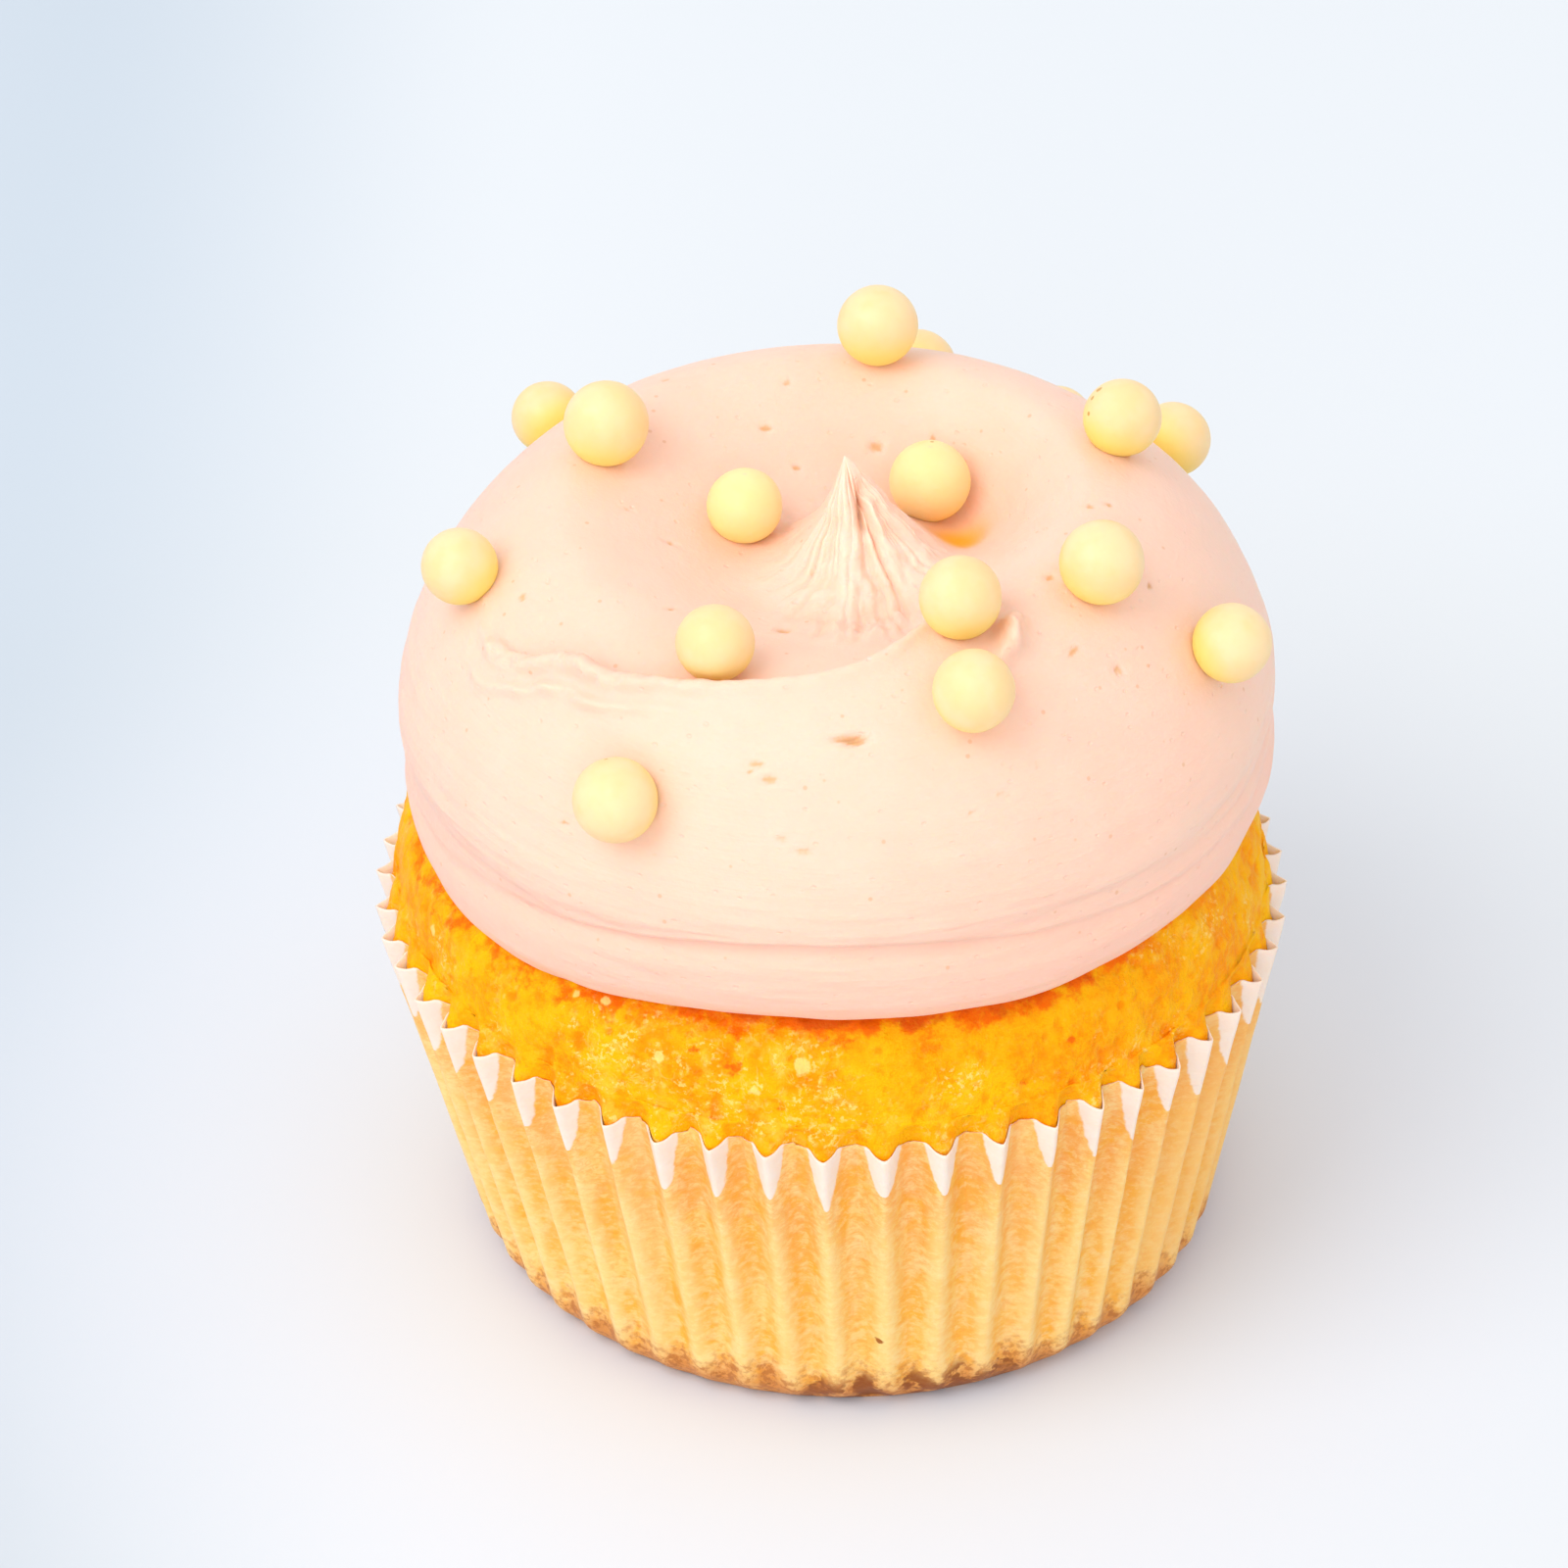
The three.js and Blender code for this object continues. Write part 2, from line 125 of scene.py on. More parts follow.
# Air holes in the frosting: turn, distance from the middle, half width, depth, stretch round
AIR_HOLES = (
    (111, 13.5, 0.35, 0.3, 1.6), (100, 16.9, 0.3, 0.2, 1.5), (75, 12.6, 0.4, 0.35, 1.6),
    (107, 10.2, 0.3, 0.25, 1.2), (58, 14.4, 0.25, 0.2, 1.2), (185, 12.2, 0.3, 0.25, 1.2),
    (223, 15.8, 0.3, 0.25, 0.8), (251, 11.7, 0.5, 0.4, 1.2), (201, 23.9, 0.25, 0.2, 2.0),
    (320, 27.1, 0.35, 0.3, 1.2), (352, 19.5, 0.3, 0.25, 1.0), (354, 20.8, 0.3, 0.25, 1.0),
    (324, 19.9, 0.35, 0.25, 1.2), (274, 26.1, 0.42, 0.55, 2.0), (273, 26.0, 0.3, 0.4, 5.0),
    (315, 24.9, 0.35, 0.2, 2.2), (338, 25.2, 0.3, 0.25, 1.0), (259, 27.3, 0.3, 0.18, 2.4),
    (261, 28.0, 0.35, 0.2, 2.0), (258, 27.7, 0.25, 0.18, 1.5), (263, 30.4, 0.25, 0.15, 2.4),
    (266, 30.8, 0.3, 0.15, 2.6), (289, 30.1, 0.25, 0.15, 1.4), (294, 29.8, 0.25, 0.15, 2.6),
    (232, 31.3, 0.25, 0.2, 1.4), (300, 29.1, 0.25, 0.15, 1.5), (175, 14.9, 0.25, 0.15, 1.2),
    (40, 24.0, 0.3, 0.2, 1.6), (95, 25.0, 0.3, 0.2, 1.4), (125, 21.0, 0.25, 0.2, 1.8),
    (150, 27.5, 0.3, 0.15, 1.6), (170, 29.0, 0.25, 0.15, 1.4), (70, 24.5, 0.25, 0.2, 1.2),
)

# Pits, dented and painted dark with their shade, and pale flecks in the shown side of the crumb, and a mark
# on the paper: place, half width
CRUMB_PITS = (
    ((-7.9, -31.1, 34.8), 0.65), ((-7.2, -31.2, 34.7), 0.65), ((-2.0, -32.3, 34.3), 0.4),
    ((-3.8, -32.7, 32.1), 0.4), ((-10.1, -30.1, 35.5), 0.5), ((1.1, -31.0, 36.9), 0.6),
    ((-3.2, -31.4, 35.9), 0.35), ((14.0, -29.7, 32.3), 0.4), ((-15.0, -27.3, 36.3), 0.4),
    ((17.4, -27.3, 34.3), 0.4), ((-6.4, -29.7, 37.4), 0.5), ((-8.6, -28.8, 37.7), 0.5),
)
CRUMB_FLECKS = (
    ((-2.2, -31.8, 35.4), 0.8), ((-29.8, -13.1, 33.6), 0.5), ((-16.6, -25.8, 36.7), 0.45),
    ((-18.8, -24.5, 36.5), 0.4), ((-5.7, -32.2, 33.3), 0.5), ((-12.7, -29.6, 34.6), 0.5),
)
PAPER_MARK = (3.6, -29.7, 7.9)
TOASTED_PLACE = (5.5, -28.0, 1.5)
# Painted shade on the right side of the paper: its middle, and the distances where it is full and gone
SHADED_SIDE = dict(place=(33.0, -6.0, 16.0), full=12, gone=26)
# Where the painted glints and sheen on the crumb gather most
GLINT_PLACE = (-9.0, -30.5, 35.0)

# Colours, as linear red, green and blue
ICING = dict(pink=(0.9, 0.57, 0.44), pale=(0.9, 0.59, 0.455), cream=(0.905, 0.605, 0.475),
    # The groove colour is painted shade for the grooves of the peak.
    low_turn=(0.92, 0.52, 0.4), pulled=(0.93, 0.68, 0.54), groove=(0.9, 0.46, 0.25),
    # The first colour on the next line is painted contact shade round the pearls.
    pearl_contact_shade=(0.95, 0.48, 0.24), dot=(0.72, 0.36, 0.17), hole_shade=(0.74, 0.38, 0.13),
    # The orange colour is a painted glow in the hollow beside a pearl.
    orange=(1.0, 0.42, 0.0))
CRUMB = dict(deep=(0.92, 0.3, 0.0), bright=(0.94, 0.46, 0.001), light_grain=(0.94, 0.44, 0.004),
    # The hollow colour is painted shade in the low spots of the crumb's relief.
    # The soft colour is mostly a painted sheen, where the glints gather.
    dark_grain=(0.92, 0.24, 0.0), hollow=(0.92, 0.22, 0.0), soft=(0.95, 0.6, 0.08),
    # The colour of the band under the frosting is painted shade.
    # The darkest crumb colour is painted shade in crevices under the frosting.
    glint=(0.95, 0.66, 0.2), baked=(0.87, 0.13, 0.0), crevice_shade=(0.7, 0.1, 0.004),
    # The open cell colour is painted shade inside the crumb's open cells.
    # The pit colour is painted shade inside the crumb's pits.
    open_cell_shade=(0.88, 0.18, 0.0), pit_shade=(0.82, 0.12, 0.002), fleck=(0.95, 0.7, 0.22))
PAPER = dict(upper=(0.93, 0.45, 0.13), lower=(0.94, 0.52, 0.12), blotch=(0.93, 0.43, 0.03),
    pale=(0.94, 0.63, 0.29), streak=(0.95, 0.65, 0.22), deep_streak=(0.93, 0.4, 0.04),
    greasy=(0.95, 0.66, 0.28), dark=(0.92, 0.35, 0.03), thread=(0.92, 0.34, 0.04),
    # The darker orange on the right side of the paper is painted shade.
    # The ridge colour is a painted highlight on the outward folds.
    ridge_highlight=(0.95, 0.7, 0.3), light_pleat=(0.95, 0.62, 0.26), shaded_side=(0.88, 0.4, 0.07),
    foot=(0.62, 0.22, 0.04), foot_speck=(0.4, 0.12, 0.02), toasted=(0.25, 0.06, 0.006),
    mark=(0.35, 0.11, 0.01), dry=(0.92, 0.68, 0.54), dry_pale=(0.9, 0.78, 0.7),
    inside=(0.9, 0.8, 0.72), inside_soaked=(0.92, 0.55, 0.3))
# The colour for the side towards the frosting is painted shade and bounced light.
SUGAR = dict(shell=(0.9, 0.63, 0.31), pale=(0.9, 0.66, 0.37), shade_and_bounce=(0.93, 0.72, 0.12),
    in_well=(0.98, 0.78, 0.33), speck=(0.5, 0.25, 0.02))
TABLE = dict(near=(0.67, 0.7, 0.715), far=(0.7, 0.73, 0.765), shaded_near=(0.48, 0.533, 0.585),
    # The middle colour is a painted cool tint round the cake, against the warm light the cake bounces.
    shaded_far=(0.53, 0.593, 0.665), middle=(0.71, 0.76, 0.86))

# Camera, at the photo's viewing angle
CAMERA_PLACE = (-3.59, -449.06, 363.77)
CAMERA_ELEVATION = math.radians(36)
CAMERA_LENS = 168.84

# Table and softboxes, in metres and watts
TABLE_WIDTH = 3.0
SKY_STRENGTH = 1.03
WINDOW_SIDE = dict(place=(-0.5, -0.42, 0.82), aim=(0, 0, 0.04), size=0.75, power=4.6,
                   colour=(1.0, 0.985, 0.97))
FRONT_FILL = dict(place=(-0.12, -0.95, 0.32), aim=(0, 0, 0.03), size=0.7, power=2.1,
                  colour=(1.0, 0.99, 0.98))

# Mesh columns: to a pleat of the paper, to a pleat of the crumb, and round the frosting
PAPER_COLUMNS = 22
CRUMB_COLUMNS = 14
ICING_COLUMNS = 480

random_draw = np.random.default_rng(7)
# How much each pleat differs from the mean, from -1 to 1
PLEAT_DRAWS = {word: random_draw.uniform(-1, 1, PLEATS)
               for word in ("width", "skew", "depth", "rim", "dry", "shape", "shift", "stain")}


def ease(share):
    share = np.clip(share, 0, 1)
    return share * share * (3 - 2 * share)


def hump(turn, at, reach):
    apart = np.abs((turn - at + 180) % 360 - 180)
    return 0.5 * (1 + np.cos(np.pi * np.minimum(apart / reach, 1)))


def lattice_draw(x, y, z, seed):
    """A repeatable random number from -1 to 1 for every corner of a cubic lattice."""
    keys = [np.asarray(v, dtype=np.int64).astype(np.uint32) for v in (x, y, z)]
    mixed = keys[0] * np.uint32(73856093) ^ keys[1] * np.uint32(19349663)
    mixed = mixed ^ keys[2] * np.uint32(83492791) ^ np.uint32(seed * 2654435 + 97)
    for shift, factor in ((15, 2246822519), (13, 3266489917)):
        mixed = (mixed ^ (mixed >> np.uint32(shift))) * np.uint32(factor)
    mixed = mixed ^ (mixed >> np.uint32(16))
    return mixed.astype(np.float64) / 2147483647.5 - 1


def lumps(points, size, seed=0):
    """Smooth random relief from about -1 to 1, with lumps of the given size."""
    spots = points / size
    corner = np.floor(spots)
    share = ease(spots - corner)
    total = 0
    for dx in (0, 1):
        for dy in (0, 1):
            for dz in (0, 1):
                weight = (np.abs(1 - dx - share[..., 0]) * np.abs(1 - dy - share[..., 1])
                          * np.abs(1 - dz - share[..., 2]))
                total = total + weight * lattice_draw(
                    corner[..., 0] + dx, corner[..., 1] + dy, corner[..., 2] + dz, seed)
    return total


def crumbs(points, size, seed=0, layers=3):
    total = 0
    for layer in range(layers):
        total = total + lumps(points, size / 2 ** layer, seed + layer) * 0.55 ** layer
    return total


def polar(radius, turn, height, centre=(0, 0)):
    angle = np.radians(turn)
    x = centre[0] + radius * np.cos(angle)
    y = centre[1] + radius * np.sin(angle)
    return np.stack(np.broadcast_arrays(x, y, height), axis=-1)


def outward(grid):
    """Unit normals of a grid of points whose rows run upwards and columns counter-clockwise."""
    along = np.roll(grid, -1, axis=1) - np.roll(grid, 1, axis=1)
    up = np.gradient(grid, axis=0)
    normal = np.cross(along, up)
    return normal / np.maximum(np.linalg.norm(normal, axis=-1, keepdims=True), 1e-9)


def round_piece(name, grid, first=None, last=None, marks=None):
    """A mesh through rows of a round grid, closed at its ends by a point where one is given."""
    rows, columns = grid.shape[:2]
    points = [grid.reshape(-1, 3)]
    index = np.arange(rows * columns).reshape(rows, columns)
    after = np.roll(index, -1, axis=1)
    quads = np.stack([index[:-1], after[:-1], after[1:], index[1:]], axis=-1).reshape(-1, 4)
    fans = []
    for tip, row, turned in ((first, 0, True), (last, rows - 1, False)):
        if tip is None:
            continue
        centre = np.full(columns, rows * columns + len(points) - 1)
        points.append(np.asarray(tip, dtype=float).reshape(1, 3))
        ends = (after[row], index[row]) if turned else (index[row], after[row])
        fans.append(np.stack([*ends, centre], axis=-1))
    corners = np.concatenate([quads.ravel(), *[fan.ravel() for fan in fans]]).astype(np.int32)
    sides = np.concatenate([np.full(len(quads), 4), *[np.full(len(fan), 3) for fan in fans]])
    starts = np.concatenate([[0], np.cumsum(sides)[:-1]])
    mesh = bpy.data.meshes.new(name)
    places = np.concatenate(points)
    mesh.vertices.add(len(places))
    mesh.vertices.foreach_set("co", (places * MM).ravel())
    mesh.loops.add(len(corners))
    mesh.loops.foreach_set("vertex_index", corners)
    mesh.polygons.add(len(sides))
    mesh.polygons.foreach_set("loop_start", starts.astype(np.int32))
    mesh.update(calc_edges=True)
    mesh.validate()
    mesh.shade_smooth()
    for mark, values in (marks or {}).items():
        layer = mesh.attributes.new(mark, "FLOAT", "POINT")
        flat = np.concatenate([np.broadcast_to(values, (rows, columns)).ravel(),
                               np.zeros(len(places) - rows * columns)])
        layer.data.foreach_set("value", flat.astype(np.float32))
    piece = bpy.data.objects.new(name, mesh)
    bpy.context.collection.objects.link(piece)
    return piece


def place_piece(piece, material, slot, *nodes):
    piece.data.materials.append(material)
    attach(piece, "root")
    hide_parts(*nodes)


# Paper case

def fold_lines(columns_per_pleat):
    """Turn of each column, its place across its pleat from the outward fold, and its pleat."""
    count = PLEATS * columns_per_pleat
    step = np.arange(count) / columns_per_pleat
    even = FIRST_FOLD_TURN - 360 + step * 360 / PLEATS
    turn = even + PLEAT_CROWDING["push"] * hump(even, PLEAT_CROWDING["at"], PLEAT_CROWDING["reach"])
    pleat = np.round(step).astype(int) % PLEATS
    return turn, step - np.round(step), pleat


def fold_section(across, rise, pleat):
    """How far out the paper lies across a pleat: a narrow outward fold and a broad inward arch."""
    draws = PLEAT_DRAWS
    power = 0.95 - 0.2 * rise + 0.07 * draws["width"][pleat] + 0.07 * draws["skew"][pleat] * np.sign(across)
    return 0.5 * (1 + np.cos(np.pi * np.abs(2 * across) ** power))


def wall_radius(height):
    rise = height / RIM_HEIGHT
    return WALL_FOOT_RADIUS + (RIM_RADIUS - WALL_FOOT_RADIUS) * rise


def corner_share(height):
    """How much of the way out to the wall the rounded bottom edge has come at a height."""
    left = np.clip(1 - height / CORNER_HEIGHT, 0, 1)
    return (1 - left * left) ** 0.9


def case_surface(heights, columns_per_pleat, inset):
    turn, across, pleat = fold_lines(columns_per_pleat)
    level = heights[:, None] + 0 * across
    rise = level / RIM_HEIGHT
    bend = 0.045 * lumps(polar(RIM_RADIUS, turn, level * 0.5), 3.5, 23) * ease(rise * 3) * (1.3 - rise)
    bent = np.clip(across + bend * (1 - np.abs(2 * across)), -0.5, 0.5)
    out = fold_section(bent, rise, pleat)
    depth = FOOT_PLEAT_DEPTH + (RIM_PLEAT_DEPTH - FOOT_PLEAT_DEPTH) * rise
    depth = depth * (1 - 0.14 * np.abs(PLEAT_DRAWS["depth"][pleat]) * rise)
    depth = depth * (0.45 + 0.55 * ease(level / 7))
    radius = wall_radius(level) - depth * (1 - out) - inset
    radius = radius - 0.14 * np.abs(lumps(polar(radius, turn, level), 5.0, 21)) * rise
    radius = radius - FOOT_NOTCH["deep"] * (
        hump(turn, FOOT_NOTCH["at"], FOOT_NOTCH["reach"]) * ease(1 - level / FOOT_NOTCH["tall"]))
    share = corner_share(level)
    radius = BASE_FLAT_RADIUS - inset + (radius - BASE_FLAT_RADIUS + inset) * share
    centre = [shift * (1 - rise) for shift in BASE_SHIFT]
    return polar(radius, turn, level, centre), across + 0 * rise, out


def dry_tongue(across, drop, pleat):
    """Above 0 where a fold stands clear of the crumb and its paper stays dry, a tongue below the rim."""
    mean, varies, draws = TONGUE, TONGUE_VARIES, PLEAT_DRAWS
    reach = mean["length"] + varies["length"] * draws["dry"][pleat]
    taper = mean["blunt"] + varies["blunt"] * draws["shape"][pleat]
    share = np.clip(drop / reach, 0, 1)
    half = (mean["half_width"] + varies["half_width"] * draws["width"][pleat]) * (1 - mean["narrows"] * share)
    half = half * (1 - share ** taper) ** 0.5
    aside = varies["aside"] * draws["shift"][pleat] * drop / reach
    return half - np.abs(across + aside) - 0.2 * (drop > reach)


def paper_case():
    columns = PAPER_COLUMNS
    low = CORNER_HEIGHT * (1 - np.cos(np.linspace(0, math.pi / 2, 9)))
    middle = np.linspace(CORNER_HEIGHT, 22, 28)[1:]
    heights = np.concatenate([low, middle, np.linspace(22, RIM_HEIGHT, 28)[1:]])
    outside, across, out = case_surface(heights, columns, 0)
    turn, _, pleat = fold_lines(columns)
    level = heights[:, None] + 0 * across
    # The cut edge of the paper is never quite level, and stands up a little beside each fold
    point = np.exp(-((np.abs(across) - 0.25) / 0.07) ** 2)
    edge = CUT_EDGE["point"] * point - CUT_EDGE["fold"] * out + CUT_EDGE["pleat"] * PLEAT_DRAWS["rim"][pleat]
    edge = edge + CUT_EDGE["ripple"] * lumps(polar(RIM_RADIUS, turn, level * 0), 1.1, 27)
    outside[..., 2] += (edge - CUT_EDGE["below"]) * ease((level / RIM_HEIGHT - 0.75) / 0.25)
    drop = RIM_HEIGHT - level
    inner_heights = np.linspace(RIM_HEIGHT, CORNER_HEIGHT, 14)
    inside, _, _ = case_surface(inner_heights, columns, PAPER_THICKNESS)
    inside[0, :, 2] = outside[-1, :, 2]
    floor_ring = polar(BASE_FLAT_RADIUS - PAPER_THICKNESS, turn, PAPER_THICKNESS, BASE_SHIFT)
    grid = np.concatenate([outside, inside, floor_ring[None]])
    extra = np.zeros((len(inner_heights) + 1, grid.shape[1]))
    inner_drop = RIM_HEIGHT - np.append(inner_heights, 0)[:, None] + extra
    marks = {
        "fold_out": np.concatenate([out, extra + out[-1]]),
        "below_rim": np.concatenate([drop, inner_drop]),
        "dry": np.concatenate([dry_tongue(across, drop, pleat), extra + 0.1]),
        "inside_face": np.concatenate([0 * drop, extra + 1]),
        "pleat_tone": np.concatenate([PLEAT_DRAWS["stain"][pleat] + 0 * drop, extra]),
    }
    return round_piece("paper_cup", grid, (*BASE_SHIFT, 0), (*BASE_SHIFT, PAPER_THICKNESS), marks)


# Sponge

def dome_height(x, y):
    out = np.minimum(np.hypot(x, y) / SPONGE_EDGE_RADIUS, 1)
    around, over = SPONGE_SHOULDER
    dome = (1 - out ** around) ** (1 / over)
    lean = x * math.sin(LEAN) * ease((1 - out) * 9)
    return SPONGE_EDGE_HEIGHT + (SPONGE_CROWN_HEIGHT - SPONGE_EDGE_HEIGHT) * dome + lean


def sponge():
    columns = CRUMB_COLUMNS
    turn, across, pleat = fold_lines(columns)
    heights = np.array([SPONGE_INSET, CORNER_HEIGHT + SPONGE_INSET, 12, FOLD_FILL_HEIGHT])
    side, _, _ = case_surface(heights, columns, SPONGE_INSET)
    side[0] = polar(BASE_FLAT_RADIUS - SPONGE_INSET, turn, SPONGE_INSET, BASE_SHIFT)
    # The crumb fills the folds low down. By the rim it draws back from them to a round edge,
    # which the inward folds still press into.
    rim_heights = np.linspace(FOLD_FILL_HEIGHT + 0.5, RIM_HEIGHT, 10)
    full, _, _ = case_surface(rim_heights, columns, PAPER_THICKNESS + 0.03)
    draw_back = ease((rim_heights - CRUMB_EDGE["full_height"]) / (RIM_HEIGHT - CRUMB_EDGE["full_height"]))
    round_radius = CRUMB_EDGE["radius"] + CRUMB_EDGE["front"] * hump(turn, 270, CRUMB_EDGE["front_reach"])
    limit = RIM_RADIUS + (round_radius - RIM_RADIUS) * draw_back[:, None]
    limit = limit + 0.25 * lumps(polar(33, turn, rim_heights[:, None]), 2.6, 43)
    reach = np.hypot(full[..., 0], full[..., 1])
    kept = (reach + limit - np.sqrt((reach - limit) ** 2 + 0.06)) / 2
    full[..., :2] *= (kept / reach)[..., None]
    edge = kept[-1]
    sweep = np.linspace(0, 1, 62)[1:, None]
    outwards = CRUMB_EDGE["radius"] + 0.2 - edge
    round_edge = edge + outwards * np.where(outwards > 0, ease(sweep * 6), ease(sweep * 16))
    radius = round_edge * (1 - sweep ** 1.5) + 26.5 * sweep ** 1.5
    dome = polar(radius, turn, 0)
    rounded = ease(sweep / 0.3)
    dome[..., 2] = (dome_height(dome[..., 0], dome[..., 1]) * rounded
                    + (RIM_HEIGHT + 13 * sweep) * (1 - rounded))
    inner = polar(np.array([20.0, 12.0, 5.0])[:, None], turn, 0)
    inner[..., 2] = dome_height(inner[..., 0], inner[..., 1])
    grid = np.concatenate([side, full, dome, inner])
    normal = outward(grid)
    row = np.arange(len(grid))[:, None]
    first = len(side) + len(full)
    shown = ease((row - first) / 12) * ease((first + len(dome) - row) / 6)
    rough = CRUMB_RELIEF
    open_cells = np.clip(lumps(grid, rough["cell_size"], 41) - 0.45, 0, 1)
    relief = rough["fine"] * crumbs(grid, rough["fine_size"], 31, 4)
    relief = relief + rough["broad"] * lumps(grid, rough["broad_size"], 37) - rough["cells"] * open_cells
    for place, size in CRUMB_PITS:
        away = np.linalg.norm(grid - place, axis=-1) / size
        relief = relief - rough["pits"] * size * np.exp(-away ** 2)
    buried = ease((np.hypot(grid[..., 0], grid[..., 1]) - 27.5) / 1.2)
    grid = grid + normal * ((relief - 0.1) * shown * buried)[..., None]
    # Where shade is painted on the crumb under the frosting's overhang
    frosting_foot = np.maximum(39.3 - foot_sag(turn), 38.1) + grid[..., 0] * math.sin(LEAN)
    baked_here = 0.62 + 0.3 * hump(turn, FROSTING_SHADE_BAND["at"], FROSTING_SHADE_BAND["reach"])
    band_top = frosting_foot - FROSTING_SHADE_BAND["below_foot"]
    under = ease(1 - (band_top - grid[..., 2]) / FROSTING_SHADE_BAND["height"]) * baked_here * shown
    centre = (0, 0, float(dome_height(0.0, 0.0)))
    marks = {"under_frosting_shade": under, "open_cell_shade": open_cells * shown, "relief": relief * shown}
    return round_piece("baked_sponge", grid, (*BASE_SHIFT, SPONGE_INSET), centre, marks)


# Frosting

def lip_trace():
    """The lip's radius at even turns, from a smooth closed line through the lip's points."""
    turns = np.array([spot[0] for spot in LIP_POINTS], dtype=float)
    radii = np.array([spot[1] for spot in LIP_POINTS], dtype=float)
    knots = polar(radii, turns, 0)[:, :2]
    count = len(knots)
    trace = []
    for k in range(count):
        a, b, c, d = (knots[(k + step) % count] for step in (-1, 0, 1, 2))
        for share in np.linspace(0, 1, 24, endpoint=False):
            trace.append(0.5 * (2 * b + (c - a) * share + (2 * a - 5 * b + 4 * c - d) * share ** 2
                                + (3 * b - a - 3 * c + d) * share ** 3))
    trace = np.array(trace)
    angle = np.degrees(np.arctan2(trace[:, 1], trace[:, 0])) % 360
    order = np.argsort(angle)
    return angle[order], np.hypot(trace[:, 0], trace[:, 1])[order]


LIP_TRACE = lip_trace()


def lip_radius(turn):
    return np.interp(turn % 360, *LIP_TRACE, period=360)


def lip_step(turn):
    rise = ease((turn - LIP_STEP["start"]) / (LIP_STEP["full"] - LIP_STEP["start"]))
    fade = ease((turn - LIP_STEP["fades"]) / (LIP_STEP["gone"] - LIP_STEP["fades"]))
    return LIP_STEP["height"] * rise * (1 - fade)


def shoulder_height(radius, turn):
    out = np.clip((radius - CREST_RADIUS) / (WIDEST_RADIUS - CREST_RADIUS), 0, 1)
    round_out = (1 - out ** SHOULDER_POWER) ** (1 / SHOULDER_POWER)
    roll = WIDEST_HEIGHT + (CREST_HEIGHT - WIDEST_HEIGHT) * round_out
    side = hump(turn, *WELL_SIDE)
    floor_radius = WELL_FLOOR_RADIUS[0] + WELL_FLOOR_RADIUS[1] * side
    floor = CREST_HEIGHT - WELL_DEPTH[0] - WELL_DEPTH[1] * side
    inward = ease((CREST_RADIUS - radius) / (CREST_RADIUS - floor_radius))
    middle = (PEAK_FLOOR - floor) * (1 - ease(radius / floor_radius))
    well = CREST_HEIGHT + (floor - CREST_HEIGHT) * inward + middle
    return np.where(radius >= CREST_RADIUS, roll, well)


def peak_height(radius, turn):
    side = hump(turn, *PEAK_SIDE)
    flank = PEAK_FLANK[0] + PEAK_FLANK[1] * side
    return (PEAK_HEIGHT - PEAK_FLOOR) * np.exp(-((radius / flank) ** (1 + 0.3 * side)))


def frosting_height(radius, turn):
    lip = lip_radius(turn)
    step = lip_step(turn)
    past = lip - radius
    sunk = step * ease(past / LIP_WALL) * ease((radius - 2) / (lip - 2))
    share = step / LIP_STEP["height"]
    bead = 0.35 * share ** 0.5 * np.exp(-(((past + 0.4) / 0.7) ** 2))
    return shoulder_height(radius, turn) - sunk + bead + peak_height(radius, turn)


def leaned(points):
    """From the frosting's own upright frame to where it leans on the sponge."""
    x, y, z = points[..., 0], points[..., 1], points[..., 2] - LEAN_HEIGHT
    return np.stack([
        FROSTING_CENTRE[0] + x * math.cos(LEAN) - z * math.sin(LEAN),
        FROSTING_CENTRE[1] + y,
        LEAN_HEIGHT + x * math.sin(LEAN) + z * math.cos(LEAN)], axis=-1)


def top_point(radius, turn):
    pull = 1 - ease(radius / CREST_RADIUS)
    centre = [offset * pull for offset in PEAK_OFFSET]
    return leaned(polar(radius, turn, frosting_height(radius, turn), centre))


def seam_height(turn):
    return SEAM["height"] - SEAM["drop"] * (1 - hump(turn, SEAM["at"], SEAM["reach"]))


def foot_sag(turn):
    """How much lower than its height the foot roll hangs."""
    left = FOOT_SAGS_LEFT["more"] * hump(turn, FOOT_SAGS_LEFT["at"], FOOT_SAGS_LEFT["reach"])
    front = FOOT_LIFTS_FRONT["less"] * hump(turn, FOOT_LIFTS_FRONT["at"], FOOT_LIFTS_FRONT["reach"])
    return FOOT_SAG + left - front


def flank_radius(height, turn):
    """The frosting's side below its widest line, with the seam between its two turns."""
    middle = FOOT_ROLL["height"] - foot_sag(turn)
    roll = np.sqrt(np.clip(1 - ((middle - height) / FOOT_ROLL["down"]) ** 2, 0, 1))
    lower = FOOT_ROLL["radius"] + FOOT_ROLL["out"] * roll
    upper = lower + (WIDEST_RADIUS - lower) * ease((height - middle) / (WIDEST_HEIGHT - middle))
    radius = np.where(height < middle, lower, upper)
    front = hump(turn, SEAM["at"], 80)
    above = height - seam_height(turn)
    groove = np.exp(-(above / np.where(above > 0, 0.42, 1.1)) ** 2)
    lines = (0.12 * np.exp(-((above - 1.5 - 0.02 * (turn - 264)) / 0.3) ** 2)
             + 0.16 * np.exp(-((above - 2.6 + 0.012 * (turn - 264)) / 0.35) ** 2) * (1 - front))
    return radius - groove * (0.16 + 0.62 * front) - lines


def pearl_place(pearl):
    """A pearl's middle, and the way that it sits out from the frosting."""
    turn, radius, diameter, pressed = pearl
    step = 0.4
    across = top_point(radius + step, turn) - top_point(radius - step, turn)
    along = top_point(radius, turn + 1) - top_point(radius, turn - 1)
    normal = np.cross(across, along)
    normal = normal / np.linalg.norm(normal)
    return top_point(radius, turn) + normal * (diameter / 2 - pressed), normal


